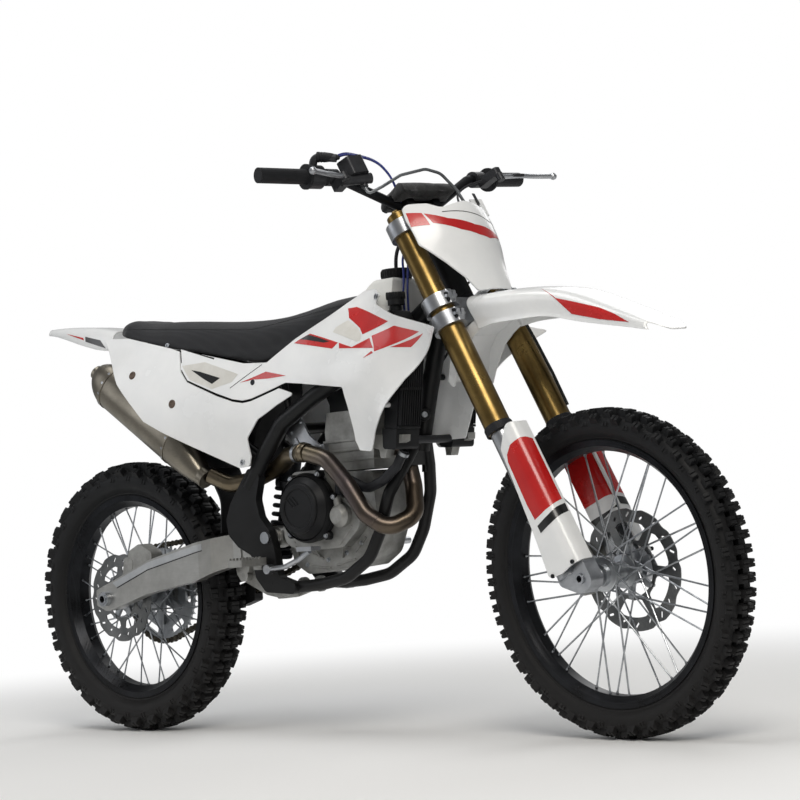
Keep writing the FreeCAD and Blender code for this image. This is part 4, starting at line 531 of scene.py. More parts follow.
def joined(meshes: Iterable[Mesh]) -> Mesh:
    """Put several meshes in one."""
    edit = bmesh.new()
    for mesh in meshes:
        edit.from_mesh(mesh)
    whole = bpy.data.meshes.new("part")
    edit.to_mesh(whole)
    edit.free()
    return whole


def skin(edit: bmesh.types.BMesh, loops: Sequence[Sequence[bmesh.types.BMVert]], ring: bool = False) -> None:
    """Join neighbouring loops of points with faces; the last meets the first in a ring, else both ends are closed."""
    for loop, after in zip(loops, [*loops[1:], loops[0]] if ring else loops[1:]):
        for k, vert in enumerate(loop):
            far = (k + 1) % len(loop)
            edit.faces.new((vert, loop[far], after[far], after[k]))
    if not ring:
        edit.faces.new(loops[0])
        edit.faces.new(loops[-1])


def moved_points(mesh: Mesh, move: Callable[[Vector], Vector] | None) -> Mesh:
    """Copy of a mesh with its double points merged and, if a move is given, its points moved."""
    mesh = mesh.copy()
    edit = bmesh.new()
    edit.from_mesh(mesh)
    bmesh.ops.remove_doubles(edit, verts=edit.verts, dist=1e-5)
    for vert in edit.verts if move else ():
        vert.co = move(vert.co)
    edit.to_mesh(mesh)
    edit.free()
    return mesh


def round_cable(points: Sequence[Vector], radius_mm: float) -> Mesh:
    """Smooth round cable through a few control points, closed at its ends."""
    curve = bpy.data.curves.new("run", "CURVE")
    curve.dimensions = "3D"
    curve.bevel_depth = radius_mm * MM
    curve.bevel_resolution = 3
    curve.resolution_u = 8
    curve.use_fill_caps = True
    spline = curve.splines.new("NURBS")
    spline.points.add(len(points) - 1)
    for control, point in zip(spline.points, points):
        control.co = (*point, 1.0)
    spline.order_u = 3
    spline.use_endpoint_u = True
    return plain_mesh(linked(curve))


def turned_ring(profile: Sequence[Pair], segments: int, centre: Vector, axis: Vector) -> Mesh:
    """Closed ring turned about an axis.

    Args:
        profile: Closed section as (radius, along the axis) in millimetres.
        segments: Faces round the ring.
        centre: A place on the axis.
        axis: The axis.

    Returns:
        The mesh.
    """
    side = axis.orthogonal().normalized()
    other = axis.cross(side).normalized()
    edit = bmesh.new()
    rings = []
    for i in range(segments):
        angle = 2 * math.pi * i / segments
        out = side * math.cos(angle) + other * math.sin(angle)
        rings.append([edit.verts.new(centre + (out * r + axis.normalized() * a) * MM) for r, a in profile])
    skin(edit, rings, ring=True)
    return from_bmesh(edit)


def prism(sides: int, stations: Sequence[Pair]) -> Mesh:
    """Closed stack of rings of the given (radius, height) stations, for small turned parts."""
    edit = bmesh.new()
    turns = [2 * math.pi * i / sides for i in range(sides)]
    skin(edit, [[edit.verts.new((radius * math.cos(turn), radius * math.sin(turn), height)) for turn in turns]
                for radius, height in stations])
    return from_bmesh(edit)


def prism_at(sides: int, stations: Sequence[Pair], place: Vector, up: Vector = UP) -> Mesh:
    """Stack of rings in millimetres, stood at a place."""
    mesh = prism(sides, stations)
    turn = up.to_track_quat("Z", "Y").to_matrix().to_4x4()
    mesh.transform(Matrix.Translation(place) @ turn @ Matrix.Scale(MM, 4))
    return mesh


def rounded_bar(start: Vector, end: Vector, half_wide_mm: float, high_mm: float) -> Mesh:
    """Bar with a round-edged square section between two places."""
    along = (end - start).normalized()
    side = along.cross(UP)
    side = side.normalized() if side.length > 0.1 else LEFT
    up = side.cross(along).normalized()
    w, h = half_wide_mm, high_mm / 2
    corner = min(w, h) * 0.45
    outline = [(w, h - corner), (w - corner, h), (corner - w, h), (-w, h - corner), (-w, corner - h), (corner - w, -h),
               (w - corner, -h), (w, corner - h)]
    edit = bmesh.new()
    skin(edit, [[edit.verts.new(p + (side * u + up * v) * MM) for u, v in outline] for p in (start, end)])
    return from_bmesh(edit)


def pierced_plate(outlines: Sequence[Sequence[Pair]], thick_mm: float, edge_mm: float = 0.35) -> Mesh:
    """Flat plate of a closed outline with holes in it, its edges broken, in millimetres and lying in XY."""
    curve = bpy.data.curves.new("plate", "CURVE")
    curve.dimensions = "2D"
    curve.fill_mode = "BOTH"
    curve.extrude = thick_mm / 2 - edge_mm
    curve.bevel_depth = edge_mm
    curve.bevel_resolution = 0
    curve.offset = -edge_mm
    for outline in outlines:
        spline = curve.splines.new("POLY")
        spline.points.add(len(outline) - 1)
        for control, point in zip(spline.points, outline):
            control.co = (*point, 0.0, 1.0)
        spline.use_cyclic_u = True
    return plain_mesh(linked(curve))


def standing_plate(outline: Sequence[Pair], side: float, thick_mm: float) -> Mesh:
    """Plate with broken edges, drawn in the side view and centred at a distance from the middle."""
    mesh = pierced_plate([outline], thick_mm)
    turn = Matrix(((1, 0, 0), (0, 0, -1), (0, 1, 0))).to_4x4()
    mesh.transform(Matrix.Translation(at(0, side, 0)) @ turn @ Matrix.Scale(MM, 4))
    return mesh


# Surfaces of the CAD nodes

SURFACES: dict[str, BVHTree] = {}


def tree_of(mesh: Mesh) -> BVHTree:
    """Search tree of a mesh."""
    return BVHTree.FromPolygons([v.co for v in mesh.vertices], [p.vertices[:] for p in mesh.polygons])


def surface_of(node: str) -> BVHTree:
    """Search tree of a CAD node's surface."""
    if node not in SURFACES:
        SURFACES[node] = tree_of(frame["nodes"][node].data)
    return SURFACES[node]


def seated(node: str, start: Vector, way: Vector) -> tuple[Vector, Vector]:
    """Where a line meets a node's surface, and the surface's outward direction there."""
    hit, normal = surface_of(node).ray_cast(start, way.normalized())[:2]
    if hit is None:
        return start, -way.normalized()
    return hit, (normal if normal.dot(way) < 0 else -normal)


# Repeated pieces

class ScatterTree:
    """Geometry tree that sets a template on every point of a mesh, turned to the point's own axes."""

    def __init__(self) -> None:
        """Build the tree with its named inputs."""
        tree = bpy.data.node_groups.new("set_on_points", "GeometryNodeTree")
        self.inputs = [tree.interface.new_socket(name, in_out="INPUT", socket_type=f"NodeSocket{kind}").identifier
                       for name, kind in (("Points", "Geometry"), ("Template", "Object"), ("Size", "Float"),
                                          ("Finish", "Material"))]
        tree.interface.new_socket("Pieces", in_out="OUTPUT", socket_type="NodeSocketGeometry")
        points, template, size, finish = add(tree, "NodeGroupInput").outputs[:4]
        info = add(tree, "GeometryNodeObjectInfo", {"transform_space": "ORIGINAL"}, {"Object": template})
        out, along = [add(tree, "GeometryNodeInputNamedAttribute", {"data_type": "FLOAT_VECTOR"},
                          {"Name": name}).outputs[0] for name in ("out", "along")]
        upright = add(tree, "FunctionNodeAlignRotationToVector", {"axis": "Z"}, {"Vector": out}).outputs[0]
        turned = add(tree, "FunctionNodeAlignRotationToVector", {"axis": "X", "pivot_axis": "Z"},
                     {"Rotation": upright, "Vector": along}).outputs[0]
        placed = add(tree, "GeometryNodeInstanceOnPoints", None,
                     {"Points": points, "Instance": info.outputs["Geometry"], "Rotation": turned, "Scale": size})
        real = add(tree, "GeometryNodeRealizeInstances", None, {0: placed.outputs[0]})
        dressed = add(tree, "GeometryNodeSetMaterial", None, {"Geometry": real.outputs[0], "Material": finish})
        add(tree, "NodeGroupOutput", None, {0: dressed.outputs[0]})
        self.tree = tree

    def run(self, template: Mesh, places: Sequence[tuple[Vector, Vector, Vector]], finish: Finish,
            size: float = 1.0) -> Mesh:
        """Set the template on the places.

        Args:
            template: Mesh in millimetres, its Z out of the surface and its X along it.
            places: For each piece its place, its out direction and its along direction.
            finish: The finish that the tree sets.
            size: Scale of the template.

        Returns:
            One plain mesh.
        """
        mesh = bpy.data.meshes.new("places")
        mesh.from_pydata([tuple(p[0]) for p in places], [], [])
        for number, name in ((1, "out"), (2, "along")):
            layer = mesh.attributes.new(name, "FLOAT_VECTOR", "POINT")
            for i, p in enumerate(places):
                layer.data[i].vector = p[number]
        source, host = linked(template), linked(mesh)
        modifier = host.modifiers.new("set", "NODES")
        modifier.node_group = self.tree
        for name, value in zip(self.inputs[1:], (source, size * MM, finish.build())):
            modifier[name] = value
        result = plain_mesh(host)
        bpy.data.objects.remove(source)
        return result


SCATTER = ScatterTree()


class Head(Enum):
    """Kinds of fastener, as stacks of rings (sides, stations) of radius one in their own units."""
    FLANGE_HEX = ((16, ((1.0, -0.2), (1.0, 0.12), (0.9, 0.2))), (6, ((0.72, 0.15), (0.72, 0.66), (0.6, 0.78))))
    SOCKET = ((14, ((0.95, -0.3), (0.95, 0.5), (0.82, 0.62), (0.5, 0.62), (0.46, 0.25), (0.05, 0.22))),)
    PLUG = ((20, ((1.0, -0.3), (1.0, 0.05), (0.86, 0.16), (0.6, 0.16), (0.5, 0.06), (0.05, 0.05))),)
    NIPPLE = ((8, ((0.8, -0.2), (1.0, 0.0), (1.0, 0.5), (0.6, 1.6), (0.5, 2.4))),)


@dataclass(frozen=True)
class Fasteners:
    """Bolts, plugs and nipples that share a kind, a finish and a body, each with its place and outward direction."""
    name: str
    kind: Head
    radius_mm: float
    finish: Finish
    places: Sequence[tuple[Vector, Vector]]
    body: Body = Body.CHASSIS
    node: str = "front_axle"

    def build(self) -> Object:
        """Set the heads on their places."""
        sets = [(p, out.normalized(), out.orthogonal().normalized()) for p, out in self.places]
        template = joined(prism(*stack) for stack in self.kind.value)
        mesh = SCATTER.run(template, sets, self.finish, self.radius_mm)
        return piece(self.name, mesh, self.finish, self.node, self.body)


def rib_ring(centre: Vector, radius_mm: float, count: int) -> Mesh:
    """Upright grip ribs round a cap."""
    rib = prism(6, [(1.8, -1.0), (1.8, 0.4), (1.1, 1.4)])
    rib.transform(Matrix.Scale(4.6, 4, Vector((1, 0, 0))))
    outs = [Vector((math.cos(2 * math.pi * i / count), math.sin(2 * math.pi * i / count), 0.0)) for i in range(count)]
    return SCATTER.run(rib, [(centre + out * radius_mm * MM, out, UP) for out in outs], BLACK_PLASTIC)


# Wheels

@dataclass(frozen=True)
class Axes:
    """Place and directions that a wheel is built in."""
    centre: Vector
    ahead: Vector
    axle: Vector
    up: Vector

    def place(self, angle: float, side: float, radius: float) -> Vector:
        """Place at an angle from the top, millimetres to the left and out from the axle."""
        return self.centre + (self.axle * side + self.radial(angle) * radius) * MM

    def radial(self, angle: float) -> Vector:
        """Direction out from the axle at an angle from the top."""
        return self.up * math.cos(angle) + self.ahead * math.sin(angle)

    def tangent(self, angle: float) -> Vector:
        """Direction round the wheel at an angle from the top."""
        return self.ahead * math.cos(angle) - self.up * math.sin(angle)


FRONT_AXES = Axes(on_fork(AXLE_LEAD, 0, 0), fork_way(1, 0, 0), fork_way(0, 1, 0), fork_way(0, 0, 1))
REAR_AXES = Axes(at(0, 0, REAR_RADIUS), Vector((1, 0, 0)), LEFT, UP)


@dataclass(frozen=True)
class Row:
    """One row of tread blocks, mirrored unless it is in the middle."""
    phase: float
    side: float
    radius: float
    lean: float
    length: float
    width: float
    height: float

    def block(self) -> Mesh:
        """Tread block with a cut across its top and broken edges."""
        half, high, sunk, slit_deep, worn_edge = self.length / 2, self.height, 3.0, 3.0, 0.9
        outline = [(-half - 1.4, -sunk), (half + 1.4, -sunk), (half - 0.6, high), (1.3, high), (0.9, high - slit_deep),
                   (-0.9, high - slit_deep), (-1.3, high), (-half + 0.6, high)]
        edit = bmesh.new()
        skin(edit, [[edit.verts.new((x, hand * (self.width / 2 + (1.2 if z < 0 else -0.5)), z)) for x, z in outline]
                    for hand in (-1, 1)])
        bmesh.ops.recalc_face_normals(edit, faces=edit.faces)
        rim = [e for e in edit.edges if all(v.co.z > high - 0.1 for v in e.verts)]
        bmesh.ops.bevel(edit, geom=rim, offset=worn_edge, segments=2, affect="EDGES", profile=0.6)
        return from_bmesh(edit)


@dataclass(frozen=True)
class Tyre:
    """Off-road tyre: a smooth carcass, given by half its section, and rows of tread blocks."""
    node: str
    axes: Axes
    body: Body
    pitches: int
    half_section: Sequence[Pair]
    rows: Sequence[Row]
    segments: int = 180

    def build(self) -> Object:
        """Turn the carcass and set the blocks; the whole stands for the CAD tyre."""
        section = [*self.half_section, *[(r, -y) for r, y in reversed(self.half_section) if y > 0.01]]
        meshes = [turned_ring(section, self.segments, self.axes.centre, self.axes.axle)]
        for row in self.rows:
            places = []
            for i in range(self.pitches):
                angle = 2 * math.pi * (i + row.phase) / self.pitches
                for hand in ((1,) if row.side == 0 else (1, -1)):
                    out = self.axes.radial(angle) * math.cos(row.lean) + self.axes.axle * hand * math.sin(row.lean)
                    places.append((self.axes.place(angle, hand * row.side, row.radius), out, self.axes.tangent(angle)))
            meshes.append(SCATTER.run(row.block(), places, RUBBER))
        obj = piece(f"{self.node}_detail", meshes, RUBBER, self.node, self.body)
        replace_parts(obj, self.node)
        return obj


FRONT_TYRE = Tyre(
    "front_tyre", FRONT_AXES, Body.FRONT_WHEEL, 36,
    [(268.4, 24.3), (270.0, 24.6), (281.6, 24.9), (284.0, 27.6), (286.5, 28.3), (287.5, 30.6), (292.0, 34.0),
     (293.0, 35.4), (297.0, 37.0), (304.0, 38.4), (311.0, 38.3), (318.0, 36.6), (324.0, 32.5), (329.0, 25.5),
     (332.0, 15.0), (333.2, 0.0), (324.0, 0.0), (321.0, 14.0), (314.0, 26.0), (304.0, 31.0), (292.0, 28.0),
     (281.0, 18.5), (268.4, 18.0)],
    [Row(0.0, 10.0, 332.6, 0.06, 17, 15.5, 13.2), Row(0.5, 0.0, 333.0, 0.0, 15, 21, 12.8),
     Row(0.5, 23.5, 329.2, 0.36, 17, 12.5, 13.0), Row(0.0, 33.0, 321.5, 0.74, 18, 14, 13.0),
     Row(0.5, 37.0, 314.0, 1.2, 13, 9, 3.5)])
REAR_TYRE = Tyre(
    "rear_tyre", REAR_AXES, Body.REAR_WHEEL, 32,
    [(242.4, 31.3), (244.0, 31.6), (256.6, 31.9), (259.0, 34.6), (261.5, 35.4), (262.5, 38.2), (270.0, 44.5),
     (271.0, 46.2), (279.0, 50.0), (289.0, 51.6), (298.0, 51.2), (305.0, 48.6), (311.0, 43.5), (316.5, 36.0),
     (320.5, 25.0), (322.5, 10.0), (322.7, 0.0), (313.0, 0.0), (311.0, 22.0), (303.0, 36.0), (290.0, 43.0),
     (272.0, 38.0), (258.0, 24.5), (242.4, 24.0)],
    [Row(0.0, 13.5, 322.3, 0.05, 20, 21, 15.4), Row(0.5, 0.0, 322.6, 0.0, 19, 26, 15.0),
     Row(0.5, 30.5, 318.4, 0.32, 20, 16, 15.2), Row(0.0, 43.5, 309.5, 0.68, 22, 17, 15.0),
     Row(0.5, 50.0, 297.0, 1.3, 15, 12, 3.5)])


@dataclass(frozen=True)
class Nipples:
    """Spoke nipples and the valve on a rim, where the CAD spokes end."""
    name: str
    axes: Axes
    body: Body
    rim_radius: float
    hub_radius: float
    hub_side: float
    swing: float
    spokes: int = 18
    flange_half: float = 3.0
    rim_side: float = 5.0
    rim_stagger: float = 1.5
    radius_mm: float = 3.3
    valve: float = 2.2

    def build(self) -> Object:
        """Set one nipple over the end of each spoke, along it, and the valve between two of them."""
        places = []
        for side in (1, -1):
            for i in range(self.spokes):
                lean = 1 if i % 2 else -1
                low = math.radians(360.0 / self.spokes * (i + (0.5 if side > 0 else 0.0)))
                high = low + math.radians(lean * self.swing)
                start = self.axes.place(low, side * (self.hub_side + lean * self.flange_half), self.hub_radius * 0.9)
                end = self.axes.place(high, side * (self.rim_side + lean * self.rim_stagger), self.rim_radius + 4.0)
                inward = (start - end).normalized()
                places.append((end + inward * 4.5 * MM, inward))
        places.append((self.axes.place(self.valve, 0.0, self.rim_radius), -self.axes.radial(self.valve)))
        return Fasteners(self.name, Head.NIPPLE, self.radius_mm, BRIGHT_STEEL, places, self.body,
                         "front_spokes").build()


NIPPLES = (Nipples("front_nipples", FRONT_AXES, Body.FRONT_WHEEL, 256.0, 36.0, 32.0, 64),
           Nipples("rear_nipples", REAR_AXES, Body.REAR_WHEEL, 226.0, 42.0, 38.0, 62))


def polar(reach: float, angle: float) -> Pair:
    """Point of a flat drawing at an angle from the top."""
    return reach * math.sin(angle), reach * math.cos(angle)


@dataclass(frozen=True)
class BrakeDisc:
    """Ground wave disc: scalloped rim, slots, and windows between its arms."""
    node: str
    axes: Axes
    body: Body
    finish: Finish
    radius: float
    hole: float
    side: float
    waves: int
    arms: int
    window: Pair
    thickness: float = 3.4
    wave_deep: float = 4.6

    def rim(self) -> list[Pair]:
        """Outline with its shallow waves."""
        count = self.waves * 16
        angles = [2 * math.pi * i / count for i in range(count)]
        return [polar(self.radius - self.wave_deep * max(0.0, math.cos(self.waves * a)) ** 1.5, a) for a in angles]

    def sector(self, middle: float, half: float) -> list[Pair]:
        """Window with rounded ends between two radii."""
        low, high = self.window
        swing = [half * (i / 4 - 1) for i in range(9)]
        outer = [polar(high - (4.0 if i in (0, 8) else 0.0), middle + swing[i]) for i in range(9)]
        return outer + [polar(low + (3.0 if i in (0, 8) else 0.0), middle - swing[i] * 0.82) for i in range(9)]

    def slot(self, angle: float, reach: float, length: float, width: float = 5.0, lean: float = 0.7) -> list[Pair]:
        """Round-ended slot, leaning from the radius."""
        points = []
        for i in range(12):
            turn = 2 * math.pi * i / 12
            x = width / 2 * math.cos(turn)
            z = width / 2 * math.sin(turn) + (length / 2 if i < 6 else -length / 2)
            u, v = x * math.cos(lean) + z * math.sin(lean), z * math.cos(lean) - x * math.sin(lean) + reach
            points.append((u * math.cos(angle) + v * math.sin(angle), v * math.cos(angle) - u * math.sin(angle)))
        return points

    def build(self) -> Object:
        """Cut the plate and stand it in the disc's place."""
        holes = [[polar(self.hole, 2 * math.pi * i / 60) for i in range(60)]]
        holes += [self.sector(2 * math.pi * (k + 0.5) / self.arms, 2.55 / self.arms) for k in range(self.arms)]
        middle = (self.window[1] + self.radius) / 2 - 1.0
        for k in range(self.waves * 2):
            shift, length = (2.5, 9.0) if k % 2 else (-1.5, 5.0)
            holes.append(self.slot(math.pi * (k + 0.5) / self.waves, middle + shift, length))
        mesh = pierced_plate([self.rim(), *holes], self.thickness)
        turn = Matrix((self.axes.ahead, self.axes.up, -self.axes.axle)).transposed().to_4x4()
        centre = self.axes.centre + self.axes.axle * self.side * MM
        mesh.transform(Matrix.Translation(centre) @ turn @ Matrix.Scale(MM, 4))
        obj = piece(f"{self.node}_detail", mesh, self.finish, self.node, self.body)
        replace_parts(obj, self.node)
        return obj


DISCS = (BrakeDisc("front_disc", FRONT_AXES, Body.FRONT_WHEEL, FRONT_DISC, 130.0, 56.0, 57.0, 10, 6, (64.0, 101.0)),
         BrakeDisc("rear_disc", REAR_AXES, Body.REAR_WHEEL, REAR_DISC, 110.0, 50.0, -70.0, 9, 6, (58.0, 80.0)))


@dataclass(frozen=True)
class Chain:
    """Roller chain laid link by link on its loop round both sprockets."""
    pitch: float = 15.875
    side: float = 71.0
    rear_teeth: int = 48
    front_teeth: int = 13
    front: Pair = (632.0, 478.0)

    def route(self) -> list[tuple[Vector, Vector]]:
        """Place and direction of every link, evenly spaced on the loop, in the side plane."""
        rear_radius, front_radius = [self.pitch / (2 * math.sin(math.pi / teeth))
                                     for teeth in (self.rear_teeth, self.front_teeth)]
        rear, front = Vector((0.0, REAR_RADIUS)), Vector(self.front)
        between = front - rear
        tilt = math.atan2(between.y, between.x)
        spread = math.asin((rear_radius - front_radius) / between.length)
        top = tilt + math.pi / 2 - spread
        low = tilt - math.pi / 2 + spread
        straight = between.length * math.cos(spread)
        # Each stretch has its length, the sprocket and angle that it starts from, and whether it goes round it.
        stretches = ((straight, rear, rear_radius, top, False),
                     ((top - low) * front_radius, front, front_radius, top, True),
                     (straight, front, front_radius, low, False),
                     ((2 * math.pi - (top - low)) * rear_radius, rear, rear_radius, low, True))
        total = sum(stretch[0] for stretch in stretches)
        count = 2 * round(total / self.pitch / 2)
        links = []
        for i in range(count):
            run = total * i / count
            for length, centre, radius, angle, arc in stretches:
                if run < length:
                    break
                run -= length
            angle -= run / radius if arc else 0.0
            way = Vector((math.sin(angle), -math.cos(angle)))
            place = centre + Vector((math.cos(angle), math.sin(angle))) * radius
            links.append((place if arc else place + way * run, way))
        return links

    def plate(self, side: float, thick: float = 1.7, end: float = 6.9, waist: float = 4.9) -> Mesh:
        """Waisted side plate of a link, standing at a distance from the middle, with X along the chain."""
        outline = []
        for hand, start in ((1, -math.pi / 2), (-1, math.pi / 2)):
            for k in range(9):
                angle = start + math.pi * k / 8
                outline.append((hand * self.pitch / 2 + end * math.cos(angle), end * math.sin(angle)))
            outline.append((0.0, hand * waist))
        edit = bmesh.new()
        skin(edit, [[edit.verts.new((x, side + y, z)) for x, z in outline] for y in (-thick / 2, thick / 2)])
        return from_bmesh(edit)

    def build(self) -> Object:
        """Outer and inner links in turn, with a roller and a riveted pin at each joint."""
        links = self.route()
        meshes = []
        for parity, side in ((0, 7.3), (1, 5.3)):
            places = []
            for i in range(parity, len(links), 2):
                here, ahead = links[i][0], links[(i + 1) % len(links)][0]
                middle, way = (here + ahead) / 2, (ahead - here).normalized()
                along = Vector((way.x, 0.0, way.y))
                places.append((at(middle.x, self.side, middle.y), along.cross(LEFT), along))
            meshes.append(SCATTER.run(joined([self.plate(-side), self.plate(side)]), places, CHAIN))
        pin = joined([prism(10, [(2.5, -8.6), (2.5, 8.2), (1.9, 8.6)]), prism(14, [(4.9, -4.1), (4.9, 4.1)])])
        places = [(at(p.x, self.side, p.y), LEFT, Vector((w.x, 0, w.y))) for p, w in links]
        meshes.append(SCATTER.run(pin, places, CHAIN))
        obj = piece("chain_links", meshes, CHAIN, "chain")
        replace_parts(obj, "chain")
        return obj


# Padded pieces

@dataclass(frozen=True)
class Pad:
    """Foam piece under a cover: its CAD solid, remeshed and blown up a little as cloth."""
    node: str
    finish: Finish
    body: Body
    voxel_mm: float
    shrink_mm: float
    cap_mm: float
    fill: float
    pin_below: float = -0.55
    trim: Callable[[Vector], Vector] | None = None
    frames: int = 20

    def swell(self, mesh: Mesh, still: Sequence[int]) -> Mesh:
        """Blow the cover up as cloth, no further than cap_mm, with the still points held."""
        start = [v.co.copy() for v in mesh.vertices]
        helper = linked(mesh)
        helper.vertex_groups.new(name="still").add(still, 1.0, "REPLACE")
        cloth = helper.modifiers.new("cover", "CLOTH")
        cloth.settings.use_pressure = True
        cloth.settings.uniform_pressure_force = 4.0
        cloth.settings.vertex_group_mass = "still"
        cloth.settings.effector_weights.gravity = 0.0
        cloth.settings.quality = 4
        cloth.point_cache.frame_start = 1
        cloth.point_cache.frame_end = self.frames
        for number in range(1, self.frames + 1):
            bpy.context.scene.frame_set(number)
        mesh = plain_mesh(helper)
        bpy.context.scene.frame_set(1)
        for v, rest in zip(mesh.vertices, start):
            move = v.co - rest
            if move.length > self.cap_mm * MM:
                v.co = rest + move.normalized() * self.cap_mm * MM
        return mesh

    def build(self) -> Object:
        """Swell the cover, keep its underside still, and smooth it once."""
        helper = linked(moved_points(frame["nodes"][self.node].data, self.trim))
        remesh = helper.modifiers.new("remesh", "REMESH")
        remesh.mode = "VOXEL"
        remesh.voxel_size = self.voxel_mm * MM
        mesh = plain_mesh(helper)
        still = [v.index for v in mesh.vertices if v.normal.z < self.pin_below]
        for v in mesh.vertices:
            v.co = v.co - v.normal * self.shrink_mm * MM
        helper = linked(self.swell(mesh, still))
        smooth = helper.modifiers.new("even", "SMOOTH")
        smooth.factor = 0.5
        smooth.iterations = 4
        helper.modifiers.new("subdivide", "SUBSURF").render_levels = 1
        mesh = plain_mesh(helper)
        obj = piece(f"{self.node}_cover", mesh, self.finish, self.node, self.body, sharp=False)
        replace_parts(obj, self.node)
        SURFACES[self.node] = tree_of(mesh)
        return obj


def tail_trim(place: Vector) -> Vector:
    """Draw the tail in behind the side panels, to the photograph's length."""
    tail_start, tail_length, draw_in = 250.0, 330.0, 38.0
    x = place.x / MM + RIDER.x
    return place + Vector((draw_in * MM * min(1.0, max(0.0, (tail_start - x) / tail_length)), 0.0, 0.0))


SEAT = Pad("seat", SEAT_COVER, Body.CHASSIS, 6.0, 3.0, 4.5, 0.85, trim=tail_trim)
BAR_PAD = Pad("bar_pad", PAD_CLOTH, Body.FORK, 4.0, 2.5, 4.0, 0.7, pin_below=-0.97)


def seat_trim() -> None:
    """Welded seams along both edges of the seat's top."""
    seam_start, seam_step, share, seat_half = 104.0, 27.2, 0.8, 0.15
    for hand, name in SIDES:
        points = []
        for step in range(27):
            x = seam_start + step * seam_step
            low = 983 - 110 * min(1.0, (x - 60) / 470) if x < 530 else 873 + 0.12 * (x - 530)
            top = 1015 - 36 * min(1.0, (x - 60) / 460) if x < 520 else 979 + 0.09 * (x - 520)
            points.append(seated("seat", at(x, hand * 300.0, low + (top - low) * share), -hand * LEFT)[0])
        # A line that misses the seat comes back with its far starting point.
        seam = round_cable([p for p in points if abs(p.y) < seat_half], 1.0)
        piece(f"seat_seam_{name}", seam, SEAT_COVER, "seat")


# Pieces shown in place of a plain solid

def reshaped(name: str, node: str, finish: Finish, move: Callable[[Vector], Vector]) -> Object:
    """Copy of a CAD node's solid with its points moved a little, shown in its place."""
    mesh = moved_points(frame["nodes"][node].data, move)
    obj = piece(name, mesh, finish, node)
    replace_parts(obj, node)
    SURFACES[node] = tree_of(mesh)
    return obj


SILENCER_WAY, SILENCER_UP = Vector((-0.819, 0.0, 0.574)), Vector((0.574, 0.0, 0.819))
SILENCER_FRONT = at(272, -97, 706)


def silencer_reach(place: Vector) -> Vector:
    """Lengthen the silencer's sleeve behind its front cone."""
    cone, sleeve, longer = 20.0, 220.0, 22.0
    reach = (place - SILENCER_FRONT).dot(SILENCER_WAY) / MM
    return place + SILENCER_WAY * longer * MM * min(1.0, max(0.0, (reach - cone) / sleeve))


def shock_parts() -> None:
    """Coil, body, reservoir and eyes of the shock absorber, in place of its plain solid."""
    foot, head = at(478.0, 0.0, 350.0), at(576.0, 0.0, 712.0)
    axis = (head - foot).normalized()
    side = axis.orthogonal().normalized()
    other = axis.cross(side)
    turns, steps, coil_foot, coil_length, coil_radius, wire_radius = 8, 16, 78.0, 166.0, 26.5, 5.2
    coil = []
    for i in range(turns * steps + 1):
        angle = 2 * math.pi * i / steps
        rise = coil_foot + coil_length * i / (turns * steps)
        coil.append(foot + (axis * rise + (side * math.cos(angle) + other * math.sin(angle)) * coil_radius) * MM)
    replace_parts(piece("shock_spring", round_cable(coil, wire_radius), SHOCK, "shock"), "shock")
    body = [turned_ring([(0.5, 8), (8.5, 8), (8.5, 92), (14, 92), (30, 70), (31.5, 72), (31.5, 80), (14, 96), (14, 238),
                         (30, 240), (31.5, 246), (31.5, 256), (26, 258), (26, 262), (25, 264), (25, 318), (21, 330),
                         (0.5, 340)], 40, foot, axis)]
    for place in (foot, at(600.0, 0.0, 716.0) - axis * 24 * MM):
        body.append(turned_ring([(6.2, -13), (14, -13), (14, 13), (6.2, 13)], 28, place, LEFT))
    piece("shock_body", body, SHOCK, "shock")


# Levers and cables

@dataclass(frozen=True)
class Cable:
    """Cable or hose that crosses the steering joint, run as one smooth curve through its points on the fork and on the
    chassis.
    """
    name: str
    radius_mm: float
    finish: Finish
    on_bars: Sequence[Triple]
    on_chassis: Sequence[Triple]
    start: Vector
    end: Vector
    first: Body = Body.FORK

    def build(self) -> Object:
        """Run the cable through its points, from the body it starts on to the other."""
        bars, chassis = [on_fork(*p) for p in self.on_bars], [at(*p) for p in self.on_chassis]
        mesh = round_cable(bars + chassis if self.first is Body.FORK else chassis + bars, self.radius_mm)
        mesh.materials.clear()
        mesh.materials.append(self.finish.build())
        mesh.shade_smooth()
        obj = linked(mesh, self.name)
        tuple(self.start)
        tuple(self.end)
        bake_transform(obj)
        LOG.info("cable %s: %d faces", self.name, len(mesh.polygons))
        return obj


